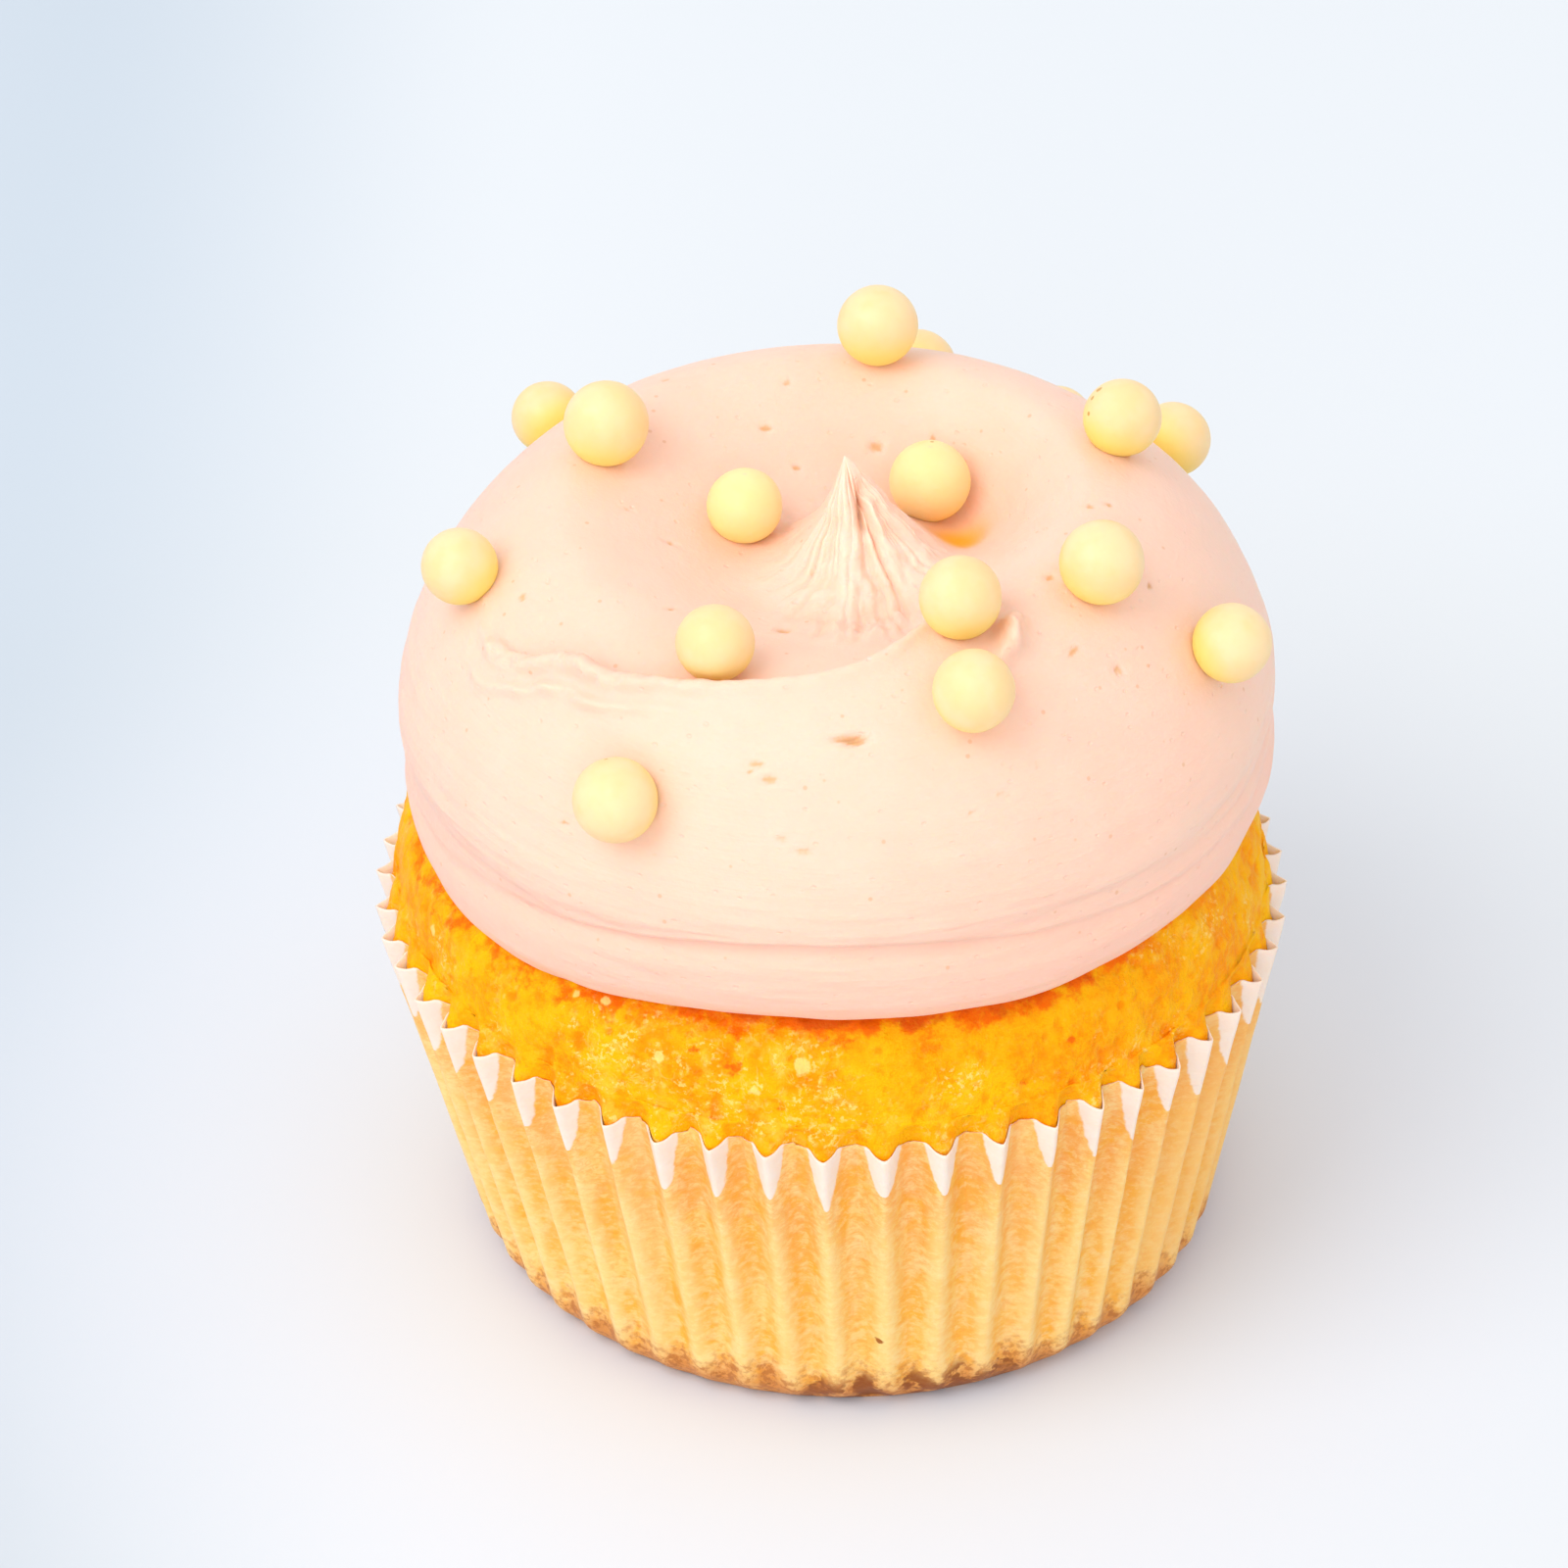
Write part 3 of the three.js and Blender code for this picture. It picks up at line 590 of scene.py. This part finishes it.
def peak_cleft(radius, turn):
    """1 in the torn cleft below the tip."""
    apart = np.radians((turn - PEAK_CLEFT["turn"] + 180) % 360 - 180) * radius
    along = (radius - PEAK_CLEFT["middle"]) / PEAK_CLEFT["half_length"]
    across = (apart + 0.25 * np.sin(radius * 2.6)) / PEAK_CLEFT["half_width"]
    return np.exp(-across ** 2) * np.exp(-along ** 4)


def peak_relief(radius, turn, points):
    """Torn ridges that run down from the tip to a ragged skirt, rounded, with sharp grooves between."""
    wander = turn + 3.5 * lumps(points, 2.2, 55)
    around = polar(1.0, wander, 0)[..., :2]
    spokes = np.stack([around[..., 0], around[..., 1], np.log(radius + 0.8) * 0.12], axis=-1)
    broad = np.abs(lumps(spokes, 0.2, 53))
    fine = np.abs(lumps(spokes, 0.09, 51))
    torn = hump(turn, 288, 105)
    reach = PEAK_SKIRT["plain"] + PEAK_SKIRT["more"] * hump(turn, PEAK_SKIRT["at"], PEAK_SKIRT["reach"])
    reach = reach + 1.1 * lumps(spokes, 0.12, 59)
    shown = ease(radius / 1.8) * ease((reach - radius) / 2.8)
    ridges = (0.75 * broad ** 0.8 + 0.3 * fine ** 0.7 - 0.2) * (0.12 + torn)
    rough = 0.24 * crumbs(points, 1.3, 57) * (0.35 + torn) * ease(radius / 3)
    # Where shade is painted in the grooves between the ridges
    grooves = ease(1 - (ridges + rough - 0.02) / 0.3) * shown * torn
    return (ridges + rough) * shown - PEAK_CLEFT["depth"] * peak_cleft(radius, turn), grooves


def frosting():
    turn = np.arange(ICING_COLUMNS) * 360 / ICING_COLUMNS
    under_radius = np.array([8.0, 15.0, 20.0, 24.0, 26.5, 28.2])[:, None]
    under = polar(under_radius, turn, 0)
    under[..., 2] = dome_height(under[..., 0], under[..., 1]) + CONTACT_GAP
    sweep = np.radians(np.linspace(84, 6, 16))[:, None]
    middle = FOOT_ROLL["height"] - foot_sag(turn)
    roll_height = middle - FOOT_ROLL["down"] * np.sin(sweep)
    side_height = middle + (WIDEST_HEIGHT - middle) * np.linspace(0, 1, 22)[:, None]
    level = np.concatenate([roll_height, side_height])
    flank_reach = flank_radius(level, turn)
    flank = leaned(polar(flank_reach, turn, level))
    flank[..., 2] = np.maximum(flank[..., 2], dome_height(flank[..., 0], flank[..., 1]) + CONTACT_GAP)
    lip = lip_radius(turn)
    wall_share = np.linspace(0, 1, 72)[1:-1, None]
    wall = lip + LIP_WALL + (WIDEST_RADIUS - lip - LIP_WALL) * np.cos(wall_share * math.pi / 2) ** 1.2
    edge = lip + np.linspace(LIP_WALL, -LIP_WALL, 13)[:, None]
    inner_share = np.linspace(1, 0, 64)[1:-1, None] ** 1.35
    reach = np.concatenate([wall, edge, (lip - LIP_WALL) * inner_share])
    top = top_point(reach, turn)
    grid = np.concatenate([under, flank, top])
    radius = np.concatenate([under_radius + 0 * turn, flank_reach, reach])
    normal = outward(grid)
    upper = np.arange(len(grid))[:, None] >= len(under) + 1
    on_top = np.arange(len(grid))[:, None] >= len(under) + len(flank)
    relief = 0.08 * lumps(grid, 9.0, 61) + 0.05 * lumps(grid, 3.2, 63)
    back_right = hump(turn, 62, 75) * np.exp(-((radius - 21) / 7) ** 2)
    relief = relief - 0.4 * back_right
    # Drag lines left by the piping, long round the cake and narrow across it
    drawn = np.stack([grid[..., 0] * 0.12, grid[..., 1] * 0.12, grid[..., 2] * 1.0], axis=-1)
    low = ease((56 - grid[..., 2]) / 10)
    sides = 1 - 0.6 * hump(turn, 268, 40)
    relief = relief + (0.03 + 0.13 * low * sides) * lumps(drawn, 0.9, 65)
    relief = relief + 0.07 * low * lumps(drawn, 0.4, 67)
    torn_relief, grooves = peak_relief(radius, turn + 0 * radius, grid)
    relief = relief + on_top * torn_relief
    # The lip is a smooth fold at the front, and a rough doubled bead towards the left
    share = lip_step(turn) / LIP_STEP["height"]
    rough_lip = hump(turn, 222, 34)
    past_lip = radius - lip + 0.35 * lumps(polar(lip, turn, 0) + 0 * grid, 2.4, 75) * rough_lip
    beaded = np.exp(-((past_lip - 0.25) / 0.5) ** 2) + 0.6 * np.exp(-((past_lip - 1.7) / 0.4) ** 2)
    ragged = lumps(grid, 1.2, 71) + 0.6 * lumps(grid, 0.55, 73)
    relief = relief + on_top * beaded * rough_lip * (0.75 + 0.5 * ragged)
    relief = relief + on_top * np.exp(-((past_lip - 0.2) / 0.6) ** 2) * share * (0.12 + 0.08 * ragged)
    hollow = grid - top_point(float(ORANGE_HOLLOW["radius"]), float(ORANGE_HOLLOW["turn"]))
    hollow = np.exp(-((hollow ** 2).sum(-1) / ORANGE_HOLLOW["half_width"] ** 2) ** 1.3)
    relief = relief - ORANGE_HOLLOW["depth"] * hollow
    for at, distance, height, width in SMEARS:
        apart = np.linalg.norm(grid - top_point(float(distance), float(at)), axis=-1)
        relief = relief + height * np.exp(-(apart / width) ** 2) * (1 + 0.4 * ragged)
    # holes says where shade is painted inside the air holes and the peak's cleft
    holes = np.zeros(grid.shape[:2])
    for at, distance, width, depth, stretch in AIR_HOLES:
        centre = top_point(float(distance), float(at))
        apart = grid - centre
        angle = math.radians(at)
        along = apart[..., 1] * math.cos(angle) - apart[..., 0] * math.sin(angle)
        other = np.sqrt(np.maximum((apart ** 2).sum(-1) - along ** 2, 0))
        shape = np.exp(-(((along / stretch) ** 2 + other ** 2) / width ** 2) ** 1.5)
        relief = relief - depth * shape
        holes = np.maximum(holes, shape * min(depth * 4.5, 1))
    holes = np.maximum(holes, 0.55 * on_top * peak_cleft(radius, turn))
    pulled = hump(turn, 285, 120) * ease((PEAK_SKIRT["plain"] + 3 - radius) / 5) * on_top
    grid = grid + normal * (relief * upper)[..., None]
    # Each pearl presses its own dent, and the frosting clings round it; the frosting's colour next to each
    # pearl is painted with its contact shade
    pearl_contact_shade = np.zeros(grid.shape[:2])
    for pearl in PEARLS:
        centre, _ = pearl_place(pearl)
        hold = pearl[2] / 2 * PEARL_HOLD
        apart = grid - centre
        distance = np.linalg.norm(apart, axis=-1, keepdims=True)
        grid = grid + normal * 0.24 * np.exp(-((distance - hold) / 0.4) ** 2)
        apart = grid - centre
        distance = np.linalg.norm(apart, axis=-1, keepdims=True)
        grid = np.where(distance < hold, centre + apart / distance * hold, grid)
        pearl_contact_shade = np.maximum(pearl_contact_shade, np.exp(-np.clip(distance[..., 0] - hold, 0, 9) / 0.5))
    tip = top_point(0.0, 0.0)
    start = (0, 0, float(dome_height(0.0, 0.0)) + CONTACT_GAP)
    marks = {"air_hole_shade": holes, "hollow_glow": hollow, "groove": grooves * on_top, "pearl_contact_shade": pearl_contact_shade,
             "pulled": pulled}
    return round_piece("frosting_swirl", grid, start, tip, marks)


# Pearls

def pearl_piece(name, pearl, seed):
    """A sugar pearl, a little uneven, as such pearls are."""
    sweep = np.linspace(math.pi, 0, 34)[1:-1, None]
    turn = np.arange(56) * 360 / 56
    radius = pearl[2] / 2
    ball = polar(np.sin(sweep), turn, np.cos(sweep))
    uneven = 0.022 * lumps(ball, 1.3, seed) + 0.006 * lumps(ball, 0.5, seed + 1)
    ball = ball * (radius * (0.985 + np.minimum(uneven, 0.015)))[..., None]
    centre, normal = pearl_place(pearl)
    poles = [centre + np.array([0, 0, end * radius * 0.985]) for end in (-1, 1)]
    towards_frosting = -(ball @ normal) / radius
    # The side towards the frosting gets painted shade and light bounced from the frosting
    marks = {"shade_and_bounce": ease(towards_frosting + 0.35), "in_well": ease((20 - pearl[1]) / 8)}
    return round_piece(name, ball + centre, *poles, marks)


# Materials

class Tone:
    """One value or colour in a material, with arithmetic that adds Math nodes."""

    def __init__(self, recipe, socket):
        self.recipe = recipe
        self.socket = socket

    def reckon(self, operation, first, second=None):
        values = {0: first} if second is None else {0: first, 1: second}
        return self.recipe.node("ShaderNodeMath", {"operation": operation}, values)

    def __add__(self, other):
        return self.reckon("ADD", self, other)

    def __sub__(self, other):
        return self.reckon("SUBTRACT", self, other)

    def __rsub__(self, other):
        return self.reckon("SUBTRACT", other, self)

    def __mul__(self, other):
        return self.reckon("MULTIPLY", self, other)

    __radd__ = __add__
    __rmul__ = __mul__


class Recipe:
    """A material being mixed from nodes."""

    def __init__(self, name):
        self.material = bpy.data.materials.new(name)
        self.material.use_nodes = True
        self.tree = self.material.node_tree
        self.surface = self.tree.nodes["Principled BSDF"]
        self.place = self.node("ShaderNodeTexCoord", {}, {}, "Object")
        self.ragged = None

    def node(self, kind, settings, values, out=0):
        added = self.tree.nodes.new(kind)
        for name, setting in settings.items():
            setattr(added, name, setting)
        for name, value in values.items():
            self.feed(added.inputs[name], value)
        return Tone(self, added.outputs[out])

    def feed(self, socket, value):
        if isinstance(value, Tone):
            self.tree.links.new(value.socket, socket)
        else:
            socket.default_value = value

    def mix(self, share, first, second):
        first, second = ((*c, 1) if isinstance(c, tuple) else c for c in (first, second))
        return self.node("ShaderNodeMix", {"data_type": "RGBA"}, {0: share, 6: first, 7: second}, 2)

    def mark(self, name):
        return self.node("ShaderNodeAttribute", {"attribute_name": name}, {}, "Fac")

    def between(self, value, low, high):
        """0 below low, 1 above high, and a soft step between them."""
        return self.node("ShaderNodeMapRange", {"interpolation_type": "SMOOTHSTEP"},
                         {"Value": value, "From Min": low, "From Max": high})

    def noise(self, size, detail=2.0, rough=0.5, place=None):
        """Noise from 0 to 1 whose lumps are about size millimetres across."""
        return self.node("ShaderNodeTexNoise", {}, {
            "Vector": place or self.place, "Scale": 1 / (size * MM), "Detail": detail, "Roughness": rough})

    def cells(self, size, place=None):
        """How far a point is from the nearest of random spots about size millimetres apart."""
        return self.node("ShaderNodeTexVoronoi", {}, {
            "Vector": place or self.place, "Scale": 1 / (size * MM)}, "Distance")

    def distance(self, place):
        """How far a point of the piece is from a place that is given in millimetres."""
        middle = tuple(v * MM for v in place)
        return self.node("ShaderNodeVectorMath", {"operation": "DISTANCE"},
                         {0: self.place, 1: middle}, "Value")

    def spot(self, place, size):
        """1 at a place on the piece and 0 past the given distance from it, in millimetres."""
        apart = self.distance(place)
        if self.ragged is None:
            self.ragged = (self.noise(0.6, 2) - 0.5) * MM
        return 1 - self.between(apart + self.ragged * (size * 1.4), size * 0.6 * MM, size * MM)

    def apart_from(self, value, level, low, high):
        """1 where a value is within low of a level, 0 where it is further from it than high."""
        distance = self.node("ShaderNodeMath", {"operation": "ABSOLUTE"}, {0: value - level})
        return 1 - self.between(distance, low, high)

    def stretched(self, amounts):
        return self.node("ShaderNodeVectorMath", {"operation": "MULTIPLY"}, {0: self.place, 1: amounts})

    def finish(self, colour, height=None, rise=0.1, **sockets):
        self.feed(self.surface.inputs["Base Color"], colour)
        for name, value in sockets.items():
            self.feed(self.surface.inputs[name.replace("_", " ").title().replace("Ior", "IOR")], value)
        if height is not None:
            bump = self.node("ShaderNodeBump", {}, {"Height": height, "Distance": rise * MM, "Strength": 1.0})
            self.feed(self.surface.inputs["Normal"], bump)
        return self.material


def set_softness(recipe, weight, depth, radius):
    """How far light wanders under the surface; depth in millimetres for red, green and blue."""
    recipe.surface.subsurface_method = "RANDOM_WALK"
    recipe.surface.inputs["Subsurface Weight"].default_value = weight
    recipe.surface.inputs["Subsurface Scale"].default_value = depth * MM
    recipe.surface.inputs["Subsurface Radius"].default_value = radius


def buttercream():
    recipe = Recipe("pale_buttercream")
    broad = recipe.noise(14, 2)
    cloudy = recipe.noise(3.5, 3)
    fine = recipe.noise(0.45, 3, 0.6)
    height = recipe.node("ShaderNodeSeparateXYZ", {}, {0: recipe.place}, 2)
    colour = recipe.mix(recipe.between(broad, 0.3, 0.7), ICING["pink"], ICING["pale"])
    colour = recipe.mix(recipe.between(cloudy, 0.35, 0.7) * 0.5, colour, ICING["cream"])
    colour = recipe.mix((1 - recipe.between(height, 0.042, 0.05)) * 0.7, colour, ICING["low_turn"])
    colour = recipe.mix(recipe.mark("pulled") * 0.8, colour, ICING["pulled"])
    # Painted shade: the grooves between the peak's torn ridges are painted a deeper orange
    grooves = recipe.between(recipe.mark("groove") + (fine - 0.5) * 0.5, 0.25, 0.95)
    colour = recipe.mix(grooves * 0.22, colour, ICING["groove"])
    # Painted contact shade on the frosting round each pearl
    colour = recipe.mix(recipe.mark("pearl_contact_shade") * 0.35, colour, ICING["pearl_contact_shade"])
    dots = 1 - recipe.between(recipe.cells(2.2), 0.05, 0.1)
    colour = recipe.mix(dots * 0.5, colour, ICING["dot"])
    # Painted shade inside the air holes and the torn cleft of the peak
    hollow = recipe.between(recipe.mark("air_hole_shade") + (fine - 0.5) * 0.4, 0.2, 0.9)
    colour = recipe.mix(hollow * 0.75, colour, ICING["hole_shade"])
    # Painted glow: the hollow beside pearl 8 is painted a bright orange for the light that comes through it
    colour = recipe.mix(recipe.mark("hollow_glow") * 0.95, colour, ICING["orange"])
    pitted = recipe.between(recipe.cells(1.7, place=recipe.stretched((1, 1, 1.8))), 0.05, 0.16)
    drawn = recipe.noise(1.3, 2, 0.6, recipe.stretched((0.25, 0.25, 2.2)))
    relief = fine * 0.3 + pitted * 0.35 + drawn * 0.5
    set_softness(recipe, 0.55, 1.2, (1.0, 0.42, 0.25))
    return recipe.finish(colour, relief, 0.14, roughness=0.46, specular_ior_level=0.35)


def sponge_crumb():
    recipe = Recipe("golden_crumb")
    patches = recipe.noise(6, 2, 0.55)
    grain = recipe.noise(1.0, 4, 0.6)
    colour = recipe.mix(recipe.between(patches, 0.35, 0.65), CRUMB["deep"], CRUMB["bright"])
    colour = recipe.mix(recipe.between(grain, 0.44, 0.64) * 0.6, colour, CRUMB["light_grain"])
    colour = recipe.mix((1 - recipe.between(grain, 0.32, 0.48)) * 0.5, colour, CRUMB["dark_grain"])
    # Painted shade in the low spots of the crumb's relief
    hollow_shade = 1 - recipe.between(recipe.mark("relief"), -0.34, -0.08)
    colour = recipe.mix(hollow_shade * 0.4, colour, CRUMB["hollow"])
    # Painted highlights: pale threads and beads of crumb painted as glints, with pale patches that are a
    # painted soft sheen where the glints gather and a faint pale tone elsewhere, most of all left of the
    # middle
    glinting = recipe.between(recipe.noise(5, 2, 0.5) + recipe.spot(GLINT_PLACE, 13) * 0.16, 0.48, 0.66)
    sheen_patch = recipe.between(recipe.noise(1.7, 3, 0.6), 0.5, 0.68)
    colour = recipe.mix(sheen_patch * (0.02 + glinting * 0.3), colour, CRUMB["soft"])
    wandering = recipe.node("ShaderNodeTexNoise", {}, {
        "Vector": recipe.place, "Scale": 1 / (1.1 * MM), "Detail": 2.0, "Roughness": 0.5, "Distortion": 0.9})
    thread = recipe.apart_from(wandering, 0.52, 0.008, 0.06)
    thread = thread * recipe.between(recipe.noise(0.9, 1), 0.45, 0.62)
    beads = recipe.between(recipe.noise(0.42, 3, 0.6), 0.53, 0.62)
    beads = beads * recipe.between(recipe.noise(1.6, 2), 0.42, 0.6)
    glint = (beads + thread * 0.35) * (0.05 + glinting * 0.6)
    colour = recipe.mix(glint, colour, CRUMB["glint"])
    # Painted shade: a deeper orange band on the crumb in the shade under the frosting's overhang
    uneven = recipe.noise(1.8, 4, 0.65) * 1.3
    baked = recipe.between(recipe.mark("under_frosting_shade") * 0.6 + uneven, 0.92, 1.2)
    colour = recipe.mix(baked * 0.9, colour, CRUMB["baked"])
    # Painted shade in the crevices right under the frosting
    crevice_shade = recipe.between(recipe.mark("under_frosting_shade") + recipe.noise(2.2, 3, 0.6), 1.26, 1.42)
    colour = recipe.mix(crevice_shade * 0.75, colour, CRUMB["crevice_shade"])
    # Painted shade inside the open cells of the crumb
    shaded_cells = recipe.between(recipe.mark("open_cell_shade"), 0.05, 0.35)
    colour = recipe.mix(shaded_cells * 0.45, colour, CRUMB["open_cell_shade"])
    # Painted shade inside the pits
    for place, size in CRUMB_PITS:
        colour = recipe.mix(recipe.spot(place, size) * 0.85, colour, CRUMB["pit_shade"])
    for place, size in CRUMB_FLECKS:
        colour = recipe.mix(recipe.spot(place, size) * 0.7, colour, CRUMB["fleck"])
    relief = grain * 0.7 + wandering * 0.4 + recipe.noise(0.35, 2, 0.6) * 0.4
    set_softness(recipe, 0.3, 0.9, (1.0, 0.4, 0.1))
    return recipe.finish(colour, relief, 0.3, roughness=0.5, specular_ior_level=0.06)


def baking_paper():
    recipe = Recipe("soaked_baking_paper")
    fold = recipe.mark("fold_out")
    drop = recipe.mark("below_rim")
    tone = recipe.mark("pleat_tone")
    crumb = recipe.noise(0.8, 4, 0.65, recipe.stretched((1, 1, 1.5)))
    wavy = recipe.node("ShaderNodeTexNoise", {}, {
        "Vector": recipe.stretched((1, 1, 2.0)), "Scale": 1 / (1.1 * MM), "Detail": 1.5, "Distortion": 1.2})
    blotches = recipe.noise(3.6, 3, 0.6)
    pale = recipe.noise(2.3, 3, 0.6, recipe.stretched((1, 1, 0.8)))
    low = recipe.between(drop, 6, 18)
    colour = recipe.mix(low, PAPER["upper"], PAPER["lower"])
    colour = recipe.mix(recipe.between(blotches, 0.44, 0.6) * 0.85, colour, PAPER["blotch"])
    colour = recipe.mix(recipe.between(pale, 0.5, 0.66) * 0.6, colour, PAPER["pale"])
    streaks = recipe.noise(1.9, 2, 0.55, recipe.stretched((1, 1, 0.3)))
    colour = recipe.mix(recipe.between(streaks, 0.5, 0.66) * 0.45, colour, PAPER["streak"])
    colour = recipe.mix((1 - recipe.between(streaks, 0.36, 0.5)) * 0.35, colour, PAPER["deep_streak"])
    colour = recipe.mix(recipe.between(crumb, 0.47, 0.62) * 0.5, colour, PAPER["greasy"])
    colour = recipe.mix((1 - recipe.between(crumb, 0.33, 0.47)) * 0.55, colour, PAPER["dark"])
    threads = recipe.apart_from(wavy, 0.5, 0.008, 0.06)
    colour = recipe.mix(threads * (0.45 - low * 0.25), colour, PAPER["thread"])
    # Painted highlight along the outward folds of the paper
    ridge_highlight = recipe.between(fold, 0.25, 0.95) * recipe.between(drop, 3, 11)
    colour = recipe.mix(ridge_highlight * 0.5, colour, PAPER["ridge_highlight"])
    colour = recipe.mix(recipe.between(tone, 0.2, 1.2) * 0.3, colour, PAPER["light_pleat"])
    # Painted shade: the paper's right side is painted a darker orange
    away = recipe.distance(SHADED_SIDE["place"])
    shaded_side = 1 - recipe.between(away, SHADED_SIDE["full"] * MM, SHADED_SIDE["gone"] * MM)
    colour = recipe.mix(shaded_side * 0.4, colour, PAPER["shaded_side"])
    # The base is baked brown, in specks that thin out upwards
    speck = recipe.noise(0.6, 3, 0.65)
    uneven = recipe.noise(3.2, 2) * 5.0 + speck * 4.0
    foot = recipe.between(drop + uneven - fold * 0.8, 28.2, 31.8)
    colour = recipe.mix(foot * 0.9, colour, PAPER["foot"])
    colour = recipe.mix(foot * recipe.between(speck, 0.48, 0.58) * 0.6, colour, PAPER["foot_speck"])
    near_front = recipe.spot(TOASTED_PLACE, 10)
    toasted = recipe.between(recipe.noise(2.0, 3, 0.6) + near_front * 0.1, 0.54, 0.62)
    toasted = toasted * recipe.between(drop - fold * 1.0 + near_front * 1.5, 26.0, 27.6)
    colour = recipe.mix(toasted * (0.4 + near_front * 0.5), colour, PAPER["toasted"])
    colour = recipe.mix(recipe.spot(PAPER_MARK, 0.4), colour, PAPER["mark"])
    ragged = recipe.noise(0.9, 3, 0.6) - 0.5
    dry = recipe.between(recipe.mark("dry") + ragged * 0.1, -0.01, 0.03)
    white = recipe.mix(recipe.noise(1.2, 3, 0.6), PAPER["dry"], PAPER["dry_pale"])
    colour = recipe.mix(dry, colour, white)
    pressed = 1 - recipe.between(fold, 0.2, 0.5)
    soaked = recipe.between(drop - ragged * 2.5 + pressed * 1.8, 1.2, 3.2)
    inside = recipe.mix(soaked, PAPER["inside"], PAPER["inside_soaked"])
    colour = recipe.mix(recipe.mark("inside_face"), colour, inside)
    height = crumb * 0.4 + wavy * 0.35 + recipe.noise(0.35, 2) * 0.2
    set_softness(recipe, 0.2, 0.4, (1.0, 0.6, 0.3))
    return recipe.finish(colour, height, 0.11, roughness=0.45, specular_ior_level=0.25)


def sugar_shell():
    recipe = Recipe("yellow_sugar_shell")
    cloudy = recipe.noise(2.6, 2)
    colour = recipe.mix(recipe.between(cloudy, 0.35, 0.65), SUGAR["shell"], SUGAR["pale"])
    # Painted shade and bounced light on the side of each pearl towards the frosting
    colour = recipe.mix(recipe.mark("shade_and_bounce") * 0.8, colour, SUGAR["shade_and_bounce"])
    # In the well the icing round a pearl reflects light on it
    colour = recipe.mix(recipe.mark("in_well") * 0.5, colour, SUGAR["in_well"])
    for number, turn, rise, size in SHELL_SPECKS:
        pearl = PEARLS[number - 1]
        middle, _ = pearl_place(pearl)
        level = math.radians(rise)
        away = polar(math.cos(level), turn, math.sin(level)) * pearl[2] / 2
        colour = recipe.mix(recipe.spot(middle + away, size) * 0.8, colour, SUGAR["speck"])
    height = recipe.noise(0.5, 2) + recipe.noise(1.6, 2) * 0.6
    set_softness(recipe, 0.5, 0.9, (1.0, 0.7, 0.35))
    return recipe.finish(colour, height, 0.03, roughness=0.4, specular_ior_level=0.35)


def table_top():
    recipe = Recipe("pale_table")
    across = recipe.node("ShaderNodeSeparateXYZ", {}, {0: recipe.place}, 0)
    depth = recipe.node("ShaderNodeSeparateXYZ", {}, {0: recipe.place}, 1)
    back = recipe.between(depth, -0.06, 0.12)
    colour = recipe.mix(back, TABLE["near"], TABLE["far"])
    shaded = recipe.mix(back, TABLE["shaded_near"], TABLE["shaded_far"])
    colour = recipe.mix(1 - recipe.between(across, -0.075, -0.025), colour, shaded)
    middle = recipe.node("ShaderNodeVectorMath", {"operation": "LENGTH"}, {0: recipe.place}, "Value")
    # Painted light: a bluer tint round the cake holds back the warm light that the cake bounces onto the
    # table
    colour = recipe.mix((1 - recipe.between(middle, 0.035, 0.1)) * 0.6, colour, TABLE["middle"])
    return recipe.finish(colour, roughness=0.55, specular_ior_level=0.1)


# Stage, light and camera

def lay_table():
    mesh = bpy.data.meshes.new("table")
    half = TABLE_WIDTH / 2
    corners = [(-half, -half, 0), (half, -half, 0), (half, half, 0), (-half, half, 0)]
    mesh.from_pydata(corners, [], [(0, 1, 2, 3)])
    floor = bpy.data.objects.new("table", mesh)
    bpy.context.collection.objects.link(floor)
    floor.data.materials.append(table_top())


def hang_softbox(name, place, aim, size, power, colour):
    light = bpy.data.lights.new(name, "AREA")
    light.shape = "DISK"
    light.size = size
    light.energy = power
    light.color = colour
    lamp = bpy.data.objects.new(name, light)
    bpy.context.collection.objects.link(lamp)
    lamp.location = place
    lamp.rotation_euler = (Vector(place) - Vector(aim)).to_track_quat("Z", "Y").to_euler()


def light_studio():
    world = bpy.data.worlds.new("studio")
    bpy.context.scene.world = world
    world.use_nodes = True
    background = world.node_tree.nodes["Background"]
    background.inputs["Color"].default_value = (0.97, 0.985, 1.0, 1)
    background.inputs["Strength"].default_value = SKY_STRENGTH
    hang_softbox("window_side", **WINDOW_SIDE)
    hang_softbox("front_fill", **FRONT_FILL)
    bpy.context.scene.view_settings.view_transform = "Standard"


def set_camera():
    camera = bpy.data.cameras.new("photo_view")
    camera.lens = CAMERA_LENS
    camera.sensor_width = 36
    camera.clip_start = 0.01
    camera.clip_end = 20
    stand = bpy.data.objects.new("photo_view", camera)
    bpy.context.collection.objects.link(stand)
    stand.location = [v * MM for v in CAMERA_PLACE]
    stand.rotation_euler = (math.pi / 2 - CAMERA_ELEVATION, 0, 0)
    bpy.context.scene.camera = stand


set_camera()
light_studio()
lay_table()
place_piece(paper_case(), baking_paper(), "baking_paper", "paper_case")
place_piece(sponge(), sponge_crumb(), "sponge_crumb", "sponge")
place_piece(frosting(), buttercream(), "buttercream", "frosting")
shell = sugar_shell()
for number, pearl in enumerate(PEARLS, 1):
    piece = pearl_piece(f"sugar_pearl_{number:02d}", pearl, 100 + 3 * number)
    place_piece(piece, shell, "sugar_pearl", f"pearl_{number:02d}")
